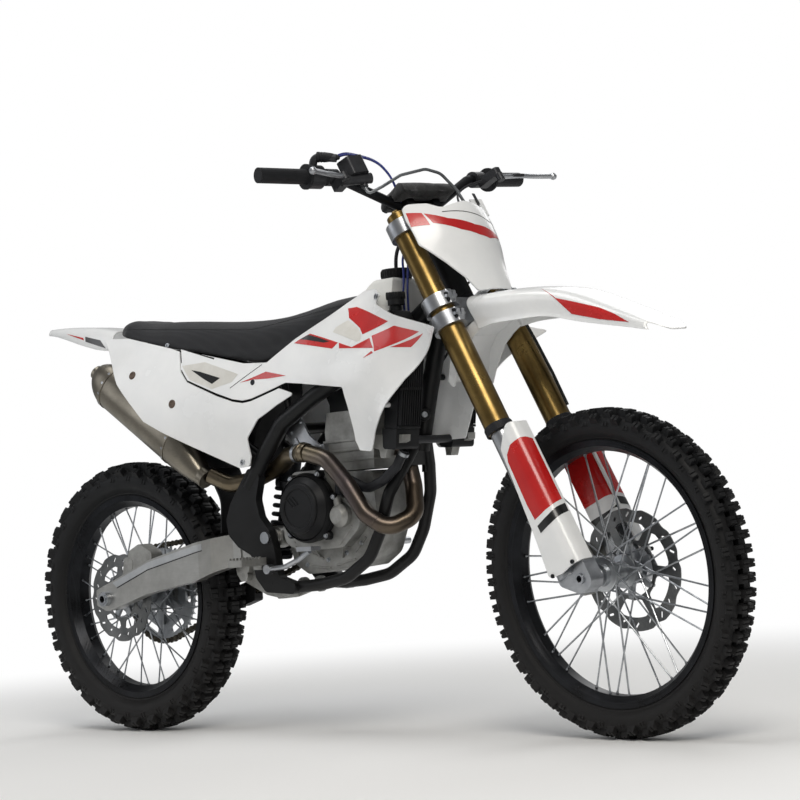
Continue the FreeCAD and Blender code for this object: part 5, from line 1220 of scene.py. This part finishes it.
THROTTLE_BEND = (on_fork(-46, -46, 872), at(1012, -58, 1010))
CABLES = (
    Cable("throttle_cable_front", 2.7, BLUE_CABLE,
          [(52, -232, 1057), (52, -205, 1068), (46, -160, 1068), (58, -122, 1046), (50, -92, 1016), (30, -68, 990),
           (0, -48, 945), (-38, -46, 900), (-44, -47, 870)],
          [(1034, -60, 1090), (1020, -60, 1064), (1016, -60, 1027), (1009, -57, 994), (1006, -55, 950),
           (1000, -50, 900), (960, -34, 840)], *THROTTLE_BEND),
    Cable("throttle_cable_rear", 2.7, BLUE_CABLE,
          [(46, -226, 1064), (46, -200, 1076), (40, -155, 1076), (52, -114, 1052), (44, -84, 1020), (22, -60, 992),
           (-8, -42, 945), (-44, -40, 900), (-52, -42, 870)],
          [(1020, -60, 1090), (1002, -60, 1067), (1005, -60, 1028), (996, -57, 990), (994, -55, 950), (990, -50, 900),
           (950, -40, 840)], *THROTTLE_BEND),
    Cable("clutch_cable", 2.6, HOSE,
          [(30, 222, 1018), (24, 196, 1014), (20, 160, 1004), (20, 128, 985), (40, 96, 950), (56, 70, 900),
           (52, 60, 820), (40, 56, 760)],
          [(1062, 52, 985), (1060, 46, 920), (1040, 42, 860), (1000, 38, 820), (930, 34, 800), (850, 58, 800),
           (760, 60, 760), (716, 64, 700)], on_fork(40, 56, 800), at(1060, 46, 930)),
    Cable("tank_breather_hose", 4.2, HOSE, [(-8, 0, 925), (0, 0, 912)],
          [(930, 0, 1050), (930, 0, 1072), (938, 0, 1098), (960, -2, 1120), (990, -2, 1140)], at(960, 0, 1118),
          on_fork(-4, 0, 918), Body.CHASSIS))
LEVERS = {"brake": [(54, -236, 1006), (62, -285, 1006), (76, -325, 1000), (88, -358, 995)],
          "clutch": [(62, 248, 1006), (74, 300, 1003), (74, 350, 1000), (85, 402, 994)]}
LEVER_RADIUS = 5.7
LEVER_BALL = [(0.4, -8.6), (4.6, -7.4), (7.5, -4.4), (8.7, 0.0), (7.5, 4.4), (4.6, 7.4), (0.4, 8.6)]


def controls() -> None:
    """Levers, cables, the tank's breather hose, and the ends of grips and throttle."""
    for name, points in LEVERS.items():
        places = [on_fork(*p) for p in points]
        ball = turned_ring(LEVER_BALL, 20, places[-1], fork_way(0, 1, 0))
        piece(f"{name}_lever_blade", [round_cable(places, LEVER_RADIUS), ball], MACHINED, "left_controls", Body.FORK)
    for cable in CABLES:
        cable.build()
    ends = []
    for hand, _ in SIDES:
        tip = on_fork(-16, hand * 402, 1056)
        ends.append(turned_ring([(5.5, 0.2), (13.5, 0.2), (13.5, 1.6), (12.5, 2.2), (6.0, 2.2)], 32, tip,
                                (tip - on_fork(6, hand * 205, 1037)).normalized()))
    piece("grip_ends", ends, PALE_GREY_AND_PAINTED_SHADE, "grips", Body.FORK)
    foot = on_fork(26, -255, 1077)
    boot = turned_ring([(9.3, -4), (11.6, -3), (11.8, 2), (10.6, 4), (11.8, 7), (10.6, 10), (11.4, 13), (9.4, 30),
                        (5.0, 46), (3.0, 48)], 24, foot, (on_fork(60, -226, 1052) - foot).normalized())
    piece("throttle_boot", boot, GRIP, "grips", Body.FORK)


# Fixed detail

CLUTCH_X, CLUTCH_Z, CLUTCH_EAR_REACH = 700.0, 527.0, 84.0
GENERATOR_X, GENERATOR_Z, GENERATOR_REACH = 776, 500, 60
RADIATOR_CAP = (991, -78)
TANK_CAP = (930, 0)
CASE_MISSED = -0.11
CLUTCH_EARS = ((652, 594), (735, 596), (783, 548), (640, 470), (752, 462))
CASE_RIBS = [((640, 440), (700, 408)), ((660, 392), (720, 386)), ((740, 392), (800, 404)), ((800, 420), (836, 452)),
             ((780, 440), (822, 480)), ((800, 500), (842, 540)), ((812, 486), (850, 520)), ((760, 410), (790, 444)),
             ((620, 420), (640, 452)), ((690, 412), (694, 440))]
HOSE_CLAMP = [(11.2, -4), (12.6, -4), (12.6, 4), (11.2, 4)]
RADIATOR_BRACKET = [(936, 678), (1025, 672), (1023, 658), (976, 642), (969, 624), (955, 625), (953, 644), (933, 650)]


def ear_places(side: float) -> list[Vector]:
    """Places of the clutch cover's screw ears, in a circle round its middle."""
    ways = [Vector((x - CLUTCH_X, 0.0, z - CLUTCH_Z)).normalized() * CLUTCH_EAR_REACH for x, z in CLUTCH_EARS]
    return [at(CLUTCH_X + way.x, side, CLUTCH_Z + way.z) for way in ways]


def engine_detail() -> None:
    """Rings, lines and ears on the engine's covers, ribs on its case, and the joints of the pipe."""
    clutch = at(CLUTCH_X, -133.0, CLUTCH_Z)
    cover = [turned_ring([(44, -0.5), (58, -0.5), (58, 1.5), (55, 4.0), (47, 4.0), (44, 1.5)], 72, clutch, RIGHT),
             turned_ring([(72.5, -20), (80.5, -30), (80.5, -26), (75, -15)], 72, clutch, RIGHT)]
    for shift in (-9.0, 0.0, 9.0):
        cover.append(rounded_bar(at(672 + shift, -133.5, 552 + shift * 0.3), at(690 + shift, -133.5, 534 + shift * 0.3),
                                 1.6, 2.2))
    for place in ear_places(-89):
        cover.append(turned_ring([(0.5, 0), (10, 0), (10, 13), (8.5, 15), (0.5, 15)], 20, place, RIGHT))
    piece("clutch_cover_detail", cover, BLACK_COVER, "clutch_cover")
    ribs = []
    for rib in CASE_RIBS:
        start, end = [seated("crankcase", at(x, -300, z), LEFT)[0] for x, z in rib]
        if min(start.y, end.y) > CASE_MISSED:
            ribs.append(rounded_bar(start, end, 2.0, 5.0))
    piece("crankcase_ribs", ribs, CAST, "crankcase")
    slip = (at(640, -88, 652) - at(782, -115, 634)).normalized()
    weld = (at(890, -116, 504) - at(938, -98, 468)).normalized()
    bands = [turned_ring([(19.8, -11), (21.2, -11), (22.2, -8), (22.2, 3), (23.4, 4), (23.4, 10), (22.2, 12),
                          (19.8, 12)], 40, at(712, -112, 654), slip),
             turned_ring([(19.6, -1.6), (20.7, -0.8), (20.9, 0.4), (20.4, 1.4), (19.6, 1.6)], 40, at(914, -107, 486),
                         weld)]
    piece("header_joints", bands, HEADER, "exhaust_header")
    strap = turned_ring([(20.3, -5), (21.8, -5), (21.8, 5), (20.3, 5)], 36, at(682, -103.5, 653.5), slip)
    lug = rounded_bar(at(688, -104, 672), at(676, -102, 688), 3.0, 8.0)
    piece("header_clamp", [strap, lug], BRIGHT_STEEL, "exhaust_header")


def frame_detail() -> None:
    """The frame's gusset and bolt, louvres and brackets of the radiators, their cap, and the hose clamps."""
    piece("frame_gusset", gusset(), FRAME_BLACK, "main_frame")
    inner, gap = 63.0, 7.2
    for hand, name in SIDES:
        blades = []
        for i in range(10):
            y = hand * (inner + i * gap)
            blades.append(rounded_bar(at(1020, y, 692), at(1046, y, 856), 1.4, 9.0))
        for x, z in ((1019, 688), (1033, 772), (1047, 860)):
            blades.append(rounded_bar(at(x, hand * 60, z), at(x, hand * 132, z), 3.0, 6.0))
        piece(f"radiator_louvres_{name}", blades, BLACK_PLASTIC, "radiators")
    for hand, name in SIDES:
        piece(f"radiator_bracket_{name}", standing_plate(RADIATOR_BRACKET, hand * 112.0, 26.0), CAST, "engine_mount")
    cap = [prism_at(36, [(19.8, -4), (20.4, 0), (20.4, 7), (18.6, 10), (8.0, 10.6)], at(*RADIATOR_CAP, 980)),
           prism_at(24, [(18.5, -14), (18.5, 0)], at(*RADIATOR_CAP, 976)), rib_ring(at(*RADIATOR_CAP, 983), 20.4, 24)]
    piece("radiator_cap_detail", cap, BLACK_PLASTIC, "radiators")
    bolt_way = Vector((0.7, -0.7, 0.0))
    Fasteners("frame_bolt", Head.SOCKET, 7.0, BRIGHT_STEEL, [(at(1010, -30, 716), bolt_way)]).build()
    boss = turned_ring([(0.5, -14), (15, -14), (15, 0), (12, 3), (0.5, 3)], 28, at(1007, -27, 716), bolt_way)
    piece("frame_bolt_boss", boss, FRAME_BLACK, "main_frame")
    clamps = [turned_ring(HOSE_CLAMP, 28, at(988, -84.5, 632), Vector((0.6, 0, 0.8))),
              turned_ring(HOSE_CLAMP, 28, at(787, -84, 585), UP)]
    piece("hose_clamps", clamps, BRIGHT_STEEL, "engine_mount")


def gusset() -> Mesh:
    """Forged web between the cradle rails below the point where the downtube splits, open below its middle."""
    stations, shares = ((968, 9, 664), (960, 26, 634), (949, 42, 606), (944, 49, 590)), (-1, -0.6, -0.2, 0.2, 0.6, 1)
    edit = bmesh.new()
    rows = [[[edit.verts.new(at(x + shift, half * share, z)) for share in shares] for shift in (5.0, -5.0)]
            for x, half, z in stations]
    for row, after in zip(rows, rows[1:]):
        for k in range(5):
            if row is rows[-2] and 0 < k < 4:
                continue
            edit.faces.new((row[0][k], row[0][k + 1], after[0][k + 1], after[0][k]))
            edit.faces.new((row[1][k + 1], row[1][k], after[1][k], after[1][k + 1]))
    bmesh.ops.bridge_loops(edit, edges=[e for e in edit.edges if len(e.link_faces) == 1])
    return from_bmesh(edit)


def front_detail() -> None:
    """Fork caps and wipers, the clamps' lugs, the plate's strap, and the tank cap's ring and ribs."""
    up_fork, leg, leg_ahead = fork_way(0, 0, 1), 97.0, 22
    caps, wipers, lugs = [], [], []
    for hand, _ in SIDES:
        y = hand * leg
        caps.append(prism_at(32, [(24.6, -1), (24.6, 8), (23.0, 10.5), (17, 11), (16, 9)], on_fork(leg_ahead, y, 914),
                             up_fork))
        caps.append(prism_at(6, [(12.5, 0), (12.5, 9), (11.0, 11)], on_fork(leg_ahead, y, 923), up_fork))
        wipers.append(turned_ring([(29.7, -3), (31.9, -2), (32.1, 12), (30.4, 16), (29.7, 16)], 48,
                                  on_fork(leg_ahead, y, 370), up_fork))
        for up, high, ahead in ((643.5, 26, 60), (688.5, 26, 60), (885.5, 28, 57)):
            for middle in (y - hand * 6.2, y + hand * 6.2):
                lugs.append(rounded_bar(on_fork(ahead, middle - 4.6, up), on_fork(ahead, middle + 4.6, up), 6.5, high))
            lugs.append(rounded_bar(on_fork(ahead + 2, y - 16, up), on_fork(ahead + 2, y + 16, up), 3.4, 6.8))
    piece("fork_caps", caps, GOLD, "fork_tubes", Body.FORK)
    piece("fork_wipers", wipers, GRIP, "grips", Body.FORK)
    piece("clamp_lugs", lugs, MACHINED, "triple_clamps", Body.FORK)
    strap = rounded_bar(on_fork(101, 84, 858), on_fork(101, 80, 930), 5.0, 2.4)
    piece("plate_strap", strap, BLACK_PLASTIC, "grips", Body.FORK)
    ring = turned_ring([(22, 0), (34.5, 0), (33.0, 3.2), (24, 3.2)], 48, at(*TANK_CAP, 1049.5), UP)
    piece("tank_cap_detail", [rib_ring(at(*TANK_CAP, 1041), 35.0, 30), ring], BLACK_PLASTIC, "tank_cap")


@dataclass(frozen=True)
class Wrap:
    """Inner wall of a fork guard, swept round the leg's front and inner side, or a film on it."""
    name: str
    finish: Finish
    low: float
    high: float
    lift: float = 0.0
    thick: float = 2.4
    foot_rise: float = 14.0
    top_drop: float = 26.0
    path: tuple[Pair, ...] = ((80.3, 100), (81.0, 88), (79.0, 79.5), (73.0, 73.0), (62.0, 70.5), (36.0, 70.0),
                              (12.0, 70.5), (-4.0, 74.0))

    def build(self, hand: int, side: str) -> Object:
        """Sweep the wall on one side of the bike."""
        edit = bmesh.new()
        loops = []
        last = len(self.path) - 1
        for i, (a, y) in enumerate(self.path):
            before, after = self.path[max(i - 1, 0)], self.path[min(i + 1, last)]
            way = Vector((after[0] - before[0], after[1] - before[1])).normalized()
            out = Vector((-way.y, way.x))
            low = self.low + self.foot_rise * (i / last)
            high = self.high - self.top_drop * (i / last) ** 1.5
            inner = self.lift - self.thick
            loops.append([edit.verts.new(on_fork(a + out.x * c, hand * (y + out.y * c), z))
                          for c, z in ((self.lift, low), (self.lift, high), (inner, high), (inner, low))])
        skin(edit, loops)
        return piece(f"{self.name}_{side}", from_bmesh(edit), self.finish, "fork_guards", Body.FORK)


WRAPS = (Wrap("guard_wrap", WHITE, 118, 345), Wrap("guard_wrap_red", RED_FILM, 163, 318, 0.6, 0.8),
         Wrap("guard_wrap_black", BLACK_FILM, 132, 148, 0.6, 0.8))


def on_circle(axes: Axes, side: float, radius: float, phase: float) -> list[tuple[Vector, Vector]]:
    """Six places round a wheel's axle that face outward on their side."""
    out = axes.axle if side > 0 else -axes.axle
    return [(axes.place(math.radians(phase + 60 * k), side, radius), out) for k in range(6)]


def fasteners() -> None:
    """Every visible bolt, plug and rivet, set by one geometry tree."""
    clutch = [(place, RIGHT) for place in ear_places(-104)]
    Fasteners("clutch_cover_bolts", Head.FLANGE_HEX, 6.2, BRIGHT_STEEL, clutch).build()
    cases = [(at(x, -60, z), RIGHT) for x, z in ((714, 405), (646, 396), (773, 419), (820, 440), (850, 520))]
    for turn in [math.radians(20 + 60 * k) for k in range(6)]:
        cases.append((at(GENERATOR_X + GENERATOR_REACH * math.cos(turn), 78,
                         GENERATOR_Z + GENERATOR_REACH * math.sin(turn)), LEFT))
    cases += [(at(x, hand * 72, z), hand * LEFT) for hand, _ in SIDES for x, z in ((664, 728), (634, 704), (672, 670))]
    Fasteners("crankcase_bolts", Head.FLANGE_HEX, 5.8, BRIGHT_STEEL, cases).build()
    Fasteners("front_disc_bolts", Head.SOCKET, 4.6, BRIGHT_STEEL, on_circle(FRONT_AXES, 58.5, 61, 30),
              Body.FRONT_WHEEL).build()
    Fasteners("rear_wheel_bolts", Head.SOCKET, 4.8, BRIGHT_STEEL,
              on_circle(REAR_AXES, -71.5, 55, 30) + on_circle(REAR_AXES, 74.5, 71, 0), Body.REAR_WHEEL).build()
    clamps = [(on_fork(ahead, hand * side, up), fork_way(0, hand, 0)) for hand, _ in SIDES for ahead, side, up in (
        (61, 108, 638), (61, 108, 652), (61, 108, 680), (61, 108, 694), (59, 108, 877), (59, 108, 894), (6, 127, 34),
        (70, 126.5, 34))]
    Fasteners("clamp_bolts", Head.SOCKET, 4.8, DARK_STEEL, clamps, Body.FORK).build()
    for name, kind, radius, finish, node, seats in (
            ("panel_grommets", Head.PLUG, 10.5, GROMMET, "grips",
             (("side_panels", 166, 882), ("side_panels", 309, 800))),
            ("shroud_grommets", Head.PLUG, 7.0, DARK_STEEL, "grips", (("shrouds", 562, 829),)),
            ("panel_screws", Head.SOCKET, 7.0, BRIGHT_STEEL, "front_axle",
             (("side_panels", 522, 645), ("shrouds", 952, 985), ("seat", 251, 947)))):
        places = [seated(panel, at(x, hand * 400, z), -hand * LEFT) for hand, _ in SIDES for panel, x, z in seats]
        Fasteners(name, kind, radius, finish, places, node=node).build()
    rivets, count, half_high, half_wide = [], 12, 57.5, 44.5
    for shift in (6.0, 272.0):
        for k in range(count):
            turn = 2 * math.pi * (k + 0.5) / count
            up, across = SILENCER_UP * math.cos(turn), LEFT * math.sin(turn)
            place = SILENCER_FRONT + (SILENCER_WAY * shift + up * half_high + across * half_wide) * MM
            rivets.append((place, (up / half_high + across / half_wide).normalized()))
    Fasteners("silencer_rivets", Head.PLUG, 3.4, BRIGHT_STEEL, rivets, node="silencer").build()


# Graphics, as outlines of film in millimetres

@dataclass(frozen=True)
class Graphic:
    """Film graphic laid on a moulded surface: an outline drawn in a side, front or top view."""
    name: str
    node: str
    finish: Finish
    way: Way
    outline: Sequence[Sequence[float]]
    lift_mm: float = 0.5
    step_mm: float = 5.0

    def local(self, point: Sequence[float]) -> Vector:
        """Point of the outline in the body's own axes; a pair leaves out the axis it is pressed along."""
        if len(point) == 3:
            return Vector(point)
        return Vector((0.0, *point)) if self.way is Way.FORK_FRONT else Vector((point[0], 0.0, point[1]))

    def build(self) -> Object:
        """Cut the outline into a fine grid and press it on the surface."""
        start_mm, film_mm = 900.0, 0.25
        on_front, direction = self.way.value
        press = Vector(direction).normalized()
        across = press.cross(UP).normalized()
        rise = across.cross(press)
        world_press = fork_way(*press) if on_front else press
        points = [(self.local(p).dot(across), self.local(p).dot(rise)) for p in self.outline]
        edit = bmesh.new()
        edit.faces.new([edit.verts.new((u, v, 0.0)) for u, v in points])
        for axis, normal in enumerate((Vector((1.0, 0.0, 0.0)), Vector((0.0, 1.0, 0.0)))):
            low, high = min(p[axis] for p in points), max(p[axis] for p in points)
            for i in range(1, int((high - low) / self.step_mm) + 1):
                bmesh.ops.bisect_plane(edit, geom=edit.verts[:] + edit.edges[:] + edit.faces[:],
                                       plane_co=normal * (low + i * self.step_mm), plane_no=normal)
        bmesh.ops.triangulate(edit, faces=edit.faces)
        lost = []
        for vert in edit.verts:
            spot = across * vert.co.x + rise * vert.co.y - press * start_mm
            hit, normal = surface_of(self.node).ray_cast(on_fork(*spot) if on_front else at(*spot), world_press)[:2]
            if hit is None:
                lost.append(vert)
            else:
                outward = normal if normal.dot(world_press) < 0 else -normal
                vert.co = hit + outward * self.lift_mm * MM
        bmesh.ops.delete(edit, geom=lost, context="VERTS")
        bmesh.ops.recalc_face_normals(edit, faces=edit.faces)
        if edit.faces and sum((f.normal * f.calc_area() for f in edit.faces), Vector()).dot(world_press) > 0:
            bmesh.ops.reverse_faces(edit, faces=edit.faces)
        bmesh.ops.solidify(edit, geom=edit.faces[:], thickness=film_mm * MM)
        return piece(self.name, from_bmesh(edit), self.finish, self.node, Body.FORK if on_front else Body.CHASSIS)


def line_outline(points: Sequence[Pair], width: float) -> list[Pair]:
    """Outline of a narrow line through a few points."""
    upper, lower = [], []
    for i, (x, z) in enumerate(points):
        before, after = points[max(i - 1, 0)], points[min(i + 1, len(points) - 1)]
        dx, dz = after[0] - before[0], after[1] - before[1]
        size = math.hypot(dx, dz) or 1.0
        upper.append((x - dz / size * width / 2, z + dx / size * width / 2))
        lower.append((x + dz / size * width / 2, z - dx / size * width / 2))
    return upper + lower[::-1]


# Films of the chassis: name, node, finish, outline in the side view, and lift. Each is laid on both sides.
SIDE_FILMS = (
    ("shroud_red_upper", "shrouds", RED_FILM,
     [(853, 970), (882, 970), (1025, 921), (934, 902), (917, 918), (864, 947)], 0.5),
    ("shroud_red_big", "shrouds", RED_FILM, [(968, 895), (1046, 909), (1127, 887), (981, 859), (977, 876)], 0.5),
    ("shroud_red_tip", "shrouds", RED_FILM, [(1025, 864), (1140, 882), (1084, 858)], 0.5),
    ("shroud_red_middle", "shrouds", RED_FILM, [(857, 891), (908, 876), (962, 891), (977, 867), (863, 878)], 0.5),
    ("shroud_red_low", "shrouds", RED_FILM, [(950, 847), (973, 861), (978, 856)], 0.5),
    ("shroud_red_tail", "shrouds", RED_FILM, [(521, 832), (606, 850), (677, 834), (614, 833), (567, 835)], 0.5),
    ("shroud_stripe", "shrouds", RED_FILM, [(695, 907), (713, 914), (745, 924), (853, 892), (837, 880)], 0.5),
    ("shroud_inset", "shrouds", BLACK_FILM, [(713, 914), (741, 922), (821, 898), (801, 897), (734, 911)], 0.6),
    # The scoop and recess films are pale painted shade and reflection inside the shroud's hollows.
    ("shroud_scoop", "shrouds", PALE_GREY_AND_PAINTED_SHADE,
     [(823, 919), (828, 930), (863, 942), (909, 919), (928, 903), (932, 889), (921, 887)], 0.3),
    ("shroud_recess", "shrouds", PALE_GREY_AND_PAINTED_SHADE, [(328, 890), (402, 892), (513, 853), (495, 836), (433, 825), (360, 853)], 0.25),
    # Black painted shade standing for the inside of the shroud's slot.
    ("shroud_slot", "shrouds", BLACK_PLASTIC, [(360, 877), (390, 870), (456, 849), (432, 837), (401, 853)], 0.5),
    ("shroud_joint", "shrouds", BLACK_PLASTIC, line_outline([(490, 822), (540, 846), (591, 868)], 1.6), 0.3),
    ("fender_red_rear", "rear_fender", RED_FILM, [(-150, 1019), (-62, 993), (-67, 1000)], 0.5),
    ("fender_black_rear", "rear_fender", BLACK_FILM, [(-58, 1002), (8, 986), (32, 963), (-55, 989)], 0.5),
    ("arm_flange", "swingarm", MILLED,
     [(24, 377), (158, 423), (326, 457), (352, 461), (352, 446), (326, 441), (158, 407), (40, 366)], 0.7),
    # Dark painted shade in the groove under the milled flange.
    ("arm_groove", "swingarm", DARK_STEEL, line_outline([(40, 364), (158, 405), (326, 439), (352, 444)], 2.2), 0.4))
# Films of the fork: name, node, finish, how it is pressed on each side, outline on the left side as
# (ahead, side, up), lift and grid. The right side mirrors it.
GUARD_WAYS = {"right": Way.FORK_RIGHT_FRONT, "left": Way.FORK_LEFT_FRONT}
FENDER_WAYS = {"right": Way.FENDER_RIGHT, "left": Way.FENDER_LEFT}
FORK_FILMS = (
    ("guard_red", "fork_guards", RED_FILM, GUARD_WAYS,
     [(26, 127, 192), (30, 127, 293), (36, 127, 307), (55, 127, 320), (78, 116, 324), (80, 100, 322), (80, 83, 316),
      (80, 83, 170), (78, 113, 163), (52, 127, 157), (28, 127, 155)], 0.5, 5.0),
    ("guard_black", "fork_guards", BLACK_FILM, GUARD_WAYS,
     [(27, 127, 141), (64, 125, 147), (79, 112, 154), (80, 80, 160), (80, 80, 141), (79, 112, 135), (64, 125, 129),
      (27, 127, 124)], 0.5, 5.0),
    ("fender_red", "front_fender", RED_FILM, FENDER_WAYS,
     [(257, 56, 575), (296, 75, 528), (333, 72, 494), (378, 65, 450), (403, 63, 419), (418, 62, 395), (424, 61, 386),
      (367, 68, 430), (313, 73, 478), (301, 75, 510)], 0.7, 4.0))
PLATE_FILMS = (
    ("plate_red_side", RED_FILM, [(-125, 897), (-102, 883), (-98, 849), (-129, 861)], 0.5),
    ("plate_red_stripe", RED_FILM,
     [(-99, 880), (-61, 851), (-1, 826), (52, 819), (108, 814), (38, 796), (4, 802), (-41, 818), (-92, 851)], 0.5),
    ("plate_joint", BLACK_PLASTIC, line_outline([(-66, 870), (-20, 861), (60, 843), (100, 846)], 2.0), 0.3))


def graphics() -> None:
    """Lay the red and black film, the panel joints, and the painted shade of the scoops, recess and slot on the
    plastics, and the arm's flange with the painted shade under it.
    """
    for hand, side in SIDES:
        way = Way.RIGHT_SIDE if hand < 0 else Way.LEFT_SIDE
        for name, node, finish, outline, lift in SIDE_FILMS:
            Graphic(f"{name}_{side}", node, finish, way, outline, lift).build()
    for hand, side in SIDES:
        for name, node, finish, ways, outline, lift, step in FORK_FILMS:
            mirrored = [(a, hand * y, up) for a, y, up in outline]
            Graphic(f"{name}_{side}", node, finish, ways[side], mirrored, lift, step).build()
    for name, finish, outline, lift in PLATE_FILMS:
        Graphic(name, "number_plate", finish, Way.FORK_FRONT, outline, lift).build()


# Scene

CAMERA_PLACE = at(4167.5, -3694.4, 509.4)
CAMERA_YAW, CAMERA_PITCH, CAMERA_ROLL = math.radians(-41.37), math.radians(2.87), math.radians(-4.04)
CAMERA_LENS_MM = 97.82
SURROUND_LIGHT = 0.27
LAMP_TARGET = Vector((0.2, 0.0, -0.4))
FLOOR_HALF = 14.0
FLOOR_FADE = (1.5, 3.4)


@dataclass(frozen=True)
class Lamp:
    """Soft studio lamp."""
    name: str
    place: Triple
    size: float
    power: float
    colour: str = "#ffffff"

    def build(self) -> None:
        """Add the lamp, aimed at the bike's middle."""
        data = bpy.data.lights.new(self.name, "AREA")
        data.shape = "DISK"
        data.size = self.size
        data.energy = self.power
        data.color = linear(self.colour)[:3]
        obj = linked(data, self.name)
        obj.location = self.place
        obj.rotation_euler = (LAMP_TARGET - Vector(self.place)).to_track_quat("-Z", "Y").to_euler()


LAMPS = (Lamp("key", (3.6, -3.0, 3.4), 2.6, 138.0, "#fffaf2"), Lamp("top", (-0.6, -0.4, 4.2), 3.6, 98.0),
         Lamp("fill", (-3.6, -3.2, 1.4), 3.0, 34.0, "#f4f6fa"), Lamp("rim", (-1.0, 4.4, 2.6), 3.0, 42.0))


def camera() -> None:
    """Camera at the photograph's place, turned as it was."""
    flat = math.cos(CAMERA_PITCH)
    out = Vector((math.sin(CAMERA_YAW) * flat, math.cos(CAMERA_YAW) * flat, math.sin(CAMERA_PITCH)))
    across = Vector((math.cos(CAMERA_YAW), -math.sin(CAMERA_YAW), 0.0))
    up = across.cross(out)
    level = across * math.cos(CAMERA_ROLL) + up * math.sin(CAMERA_ROLL)
    upright = up * math.cos(CAMERA_ROLL) - across * math.sin(CAMERA_ROLL)
    data = bpy.data.cameras.new("camera")
    data.sensor_width = 36.0
    data.lens = CAMERA_LENS_MM
    data.clip_start = 0.05
    obj = linked(data, "camera")
    obj.matrix_world = Matrix.Translation(CAMERA_PLACE) @ Matrix((level, upright, -out)).transposed().to_4x4()
    bpy.context.scene.camera = obj


def surround() -> None:
    """White surround that the camera sees, dimmer for the light it gives."""
    world = bpy.data.worlds.new("studio")
    bpy.context.scene.world = world
    world.use_nodes = True
    tree = world.node_tree
    tree.nodes.clear()
    seen = add(tree, "ShaderNodeLightPath").outputs["Is Camera Ray"]
    dim, white = [add(tree, "ShaderNodeBackground", None, {"Color": linear(colour), "Strength": strength}).outputs[0]
                  for colour, strength in (("#e8e9ea", SURROUND_LIGHT), ("#ffffff", 1.0))]
    both = add(tree, "ShaderNodeMixShader", None, {0: seen, 1: dim, 2: white}).outputs[0]
    add(tree, "ShaderNodeOutputWorld", None, {"Surface": both})


def floor() -> None:
    """Pale floor that fades into the surround away from the bike."""
    edit = bmesh.new()
    bmesh.ops.create_grid(edit, x_segments=1, y_segments=1, size=FLOOR_HALF)
    mesh = from_bmesh(edit)
    mesh.transform(Matrix.Translation((0.0, 0.0, FLOOR_Z)))
    material = bpy.data.materials.new("pale_studio_floor")
    material.use_nodes = True
    tree = material.node_tree
    shader = tree.nodes["Principled BSDF"]
    shader.inputs["Base Color"].default_value = linear("#f2f2f1")
    shader.inputs["Roughness"].default_value = 0.85
    place = add(tree, "ShaderNodeTexCoord").outputs["Object"]
    reach = add(tree, "ShaderNodeVectorMath", {"operation": "LENGTH"}, {0: place}).outputs["Value"]
    far = add(tree, "ShaderNodeMapRange", {"interpolation_type": "SMOOTHSTEP"},
              {"Value": reach, "From Min": FLOOR_FADE[0], "From Max": FLOOR_FADE[1]}).outputs[0]
    seen = add(tree, "ShaderNodeLightPath").outputs["Is Camera Ray"]
    glow = add(tree, "ShaderNodeEmission", None, {"Color": linear("#ffffff"), "Strength": 1.0}).outputs[0]
    both = add(tree, "ShaderNodeMixShader", None,
               {0: maths(tree, "MULTIPLY", far, seen), 1: shader.outputs[0], 2: glow}).outputs[0]
    tree.links.new(both, tree.nodes["Material Output"].inputs["Surface"])
    mesh.materials.append(material)
    linked(mesh, "floor")


def studio() -> None:
    """Surround, floor and lamps."""
    surround()
    floor()
    for lamp in LAMPS:
        lamp.build()
    bpy.context.scene.view_settings.view_transform = "Standard"


def main() -> None:
    """Dress the whole bike."""
    logging.basicConfig(level=logging.INFO, format="%(name)s: %(message)s")
    camera()
    studio()
    dress_nodes()
    for part in (FRONT_TYRE, REAR_TYRE, *NIPPLES, *DISCS, Chain(), SEAT, BAR_PAD):
        part.build()
    seat_trim()
    reshaped("rear_fender_shell", "rear_fender", WHITE, tail_trim)
    reshaped("silencer_shell", "silencer", SILENCER, silencer_reach)
    shock_parts()
    controls()
    engine_detail()
    frame_detail()
    front_detail()
    for wrap in WRAPS:
        for hand, side in SIDES:
            wrap.build(hand, side)
    fasteners()
    graphics()


if __name__ == "__main__":
    main()
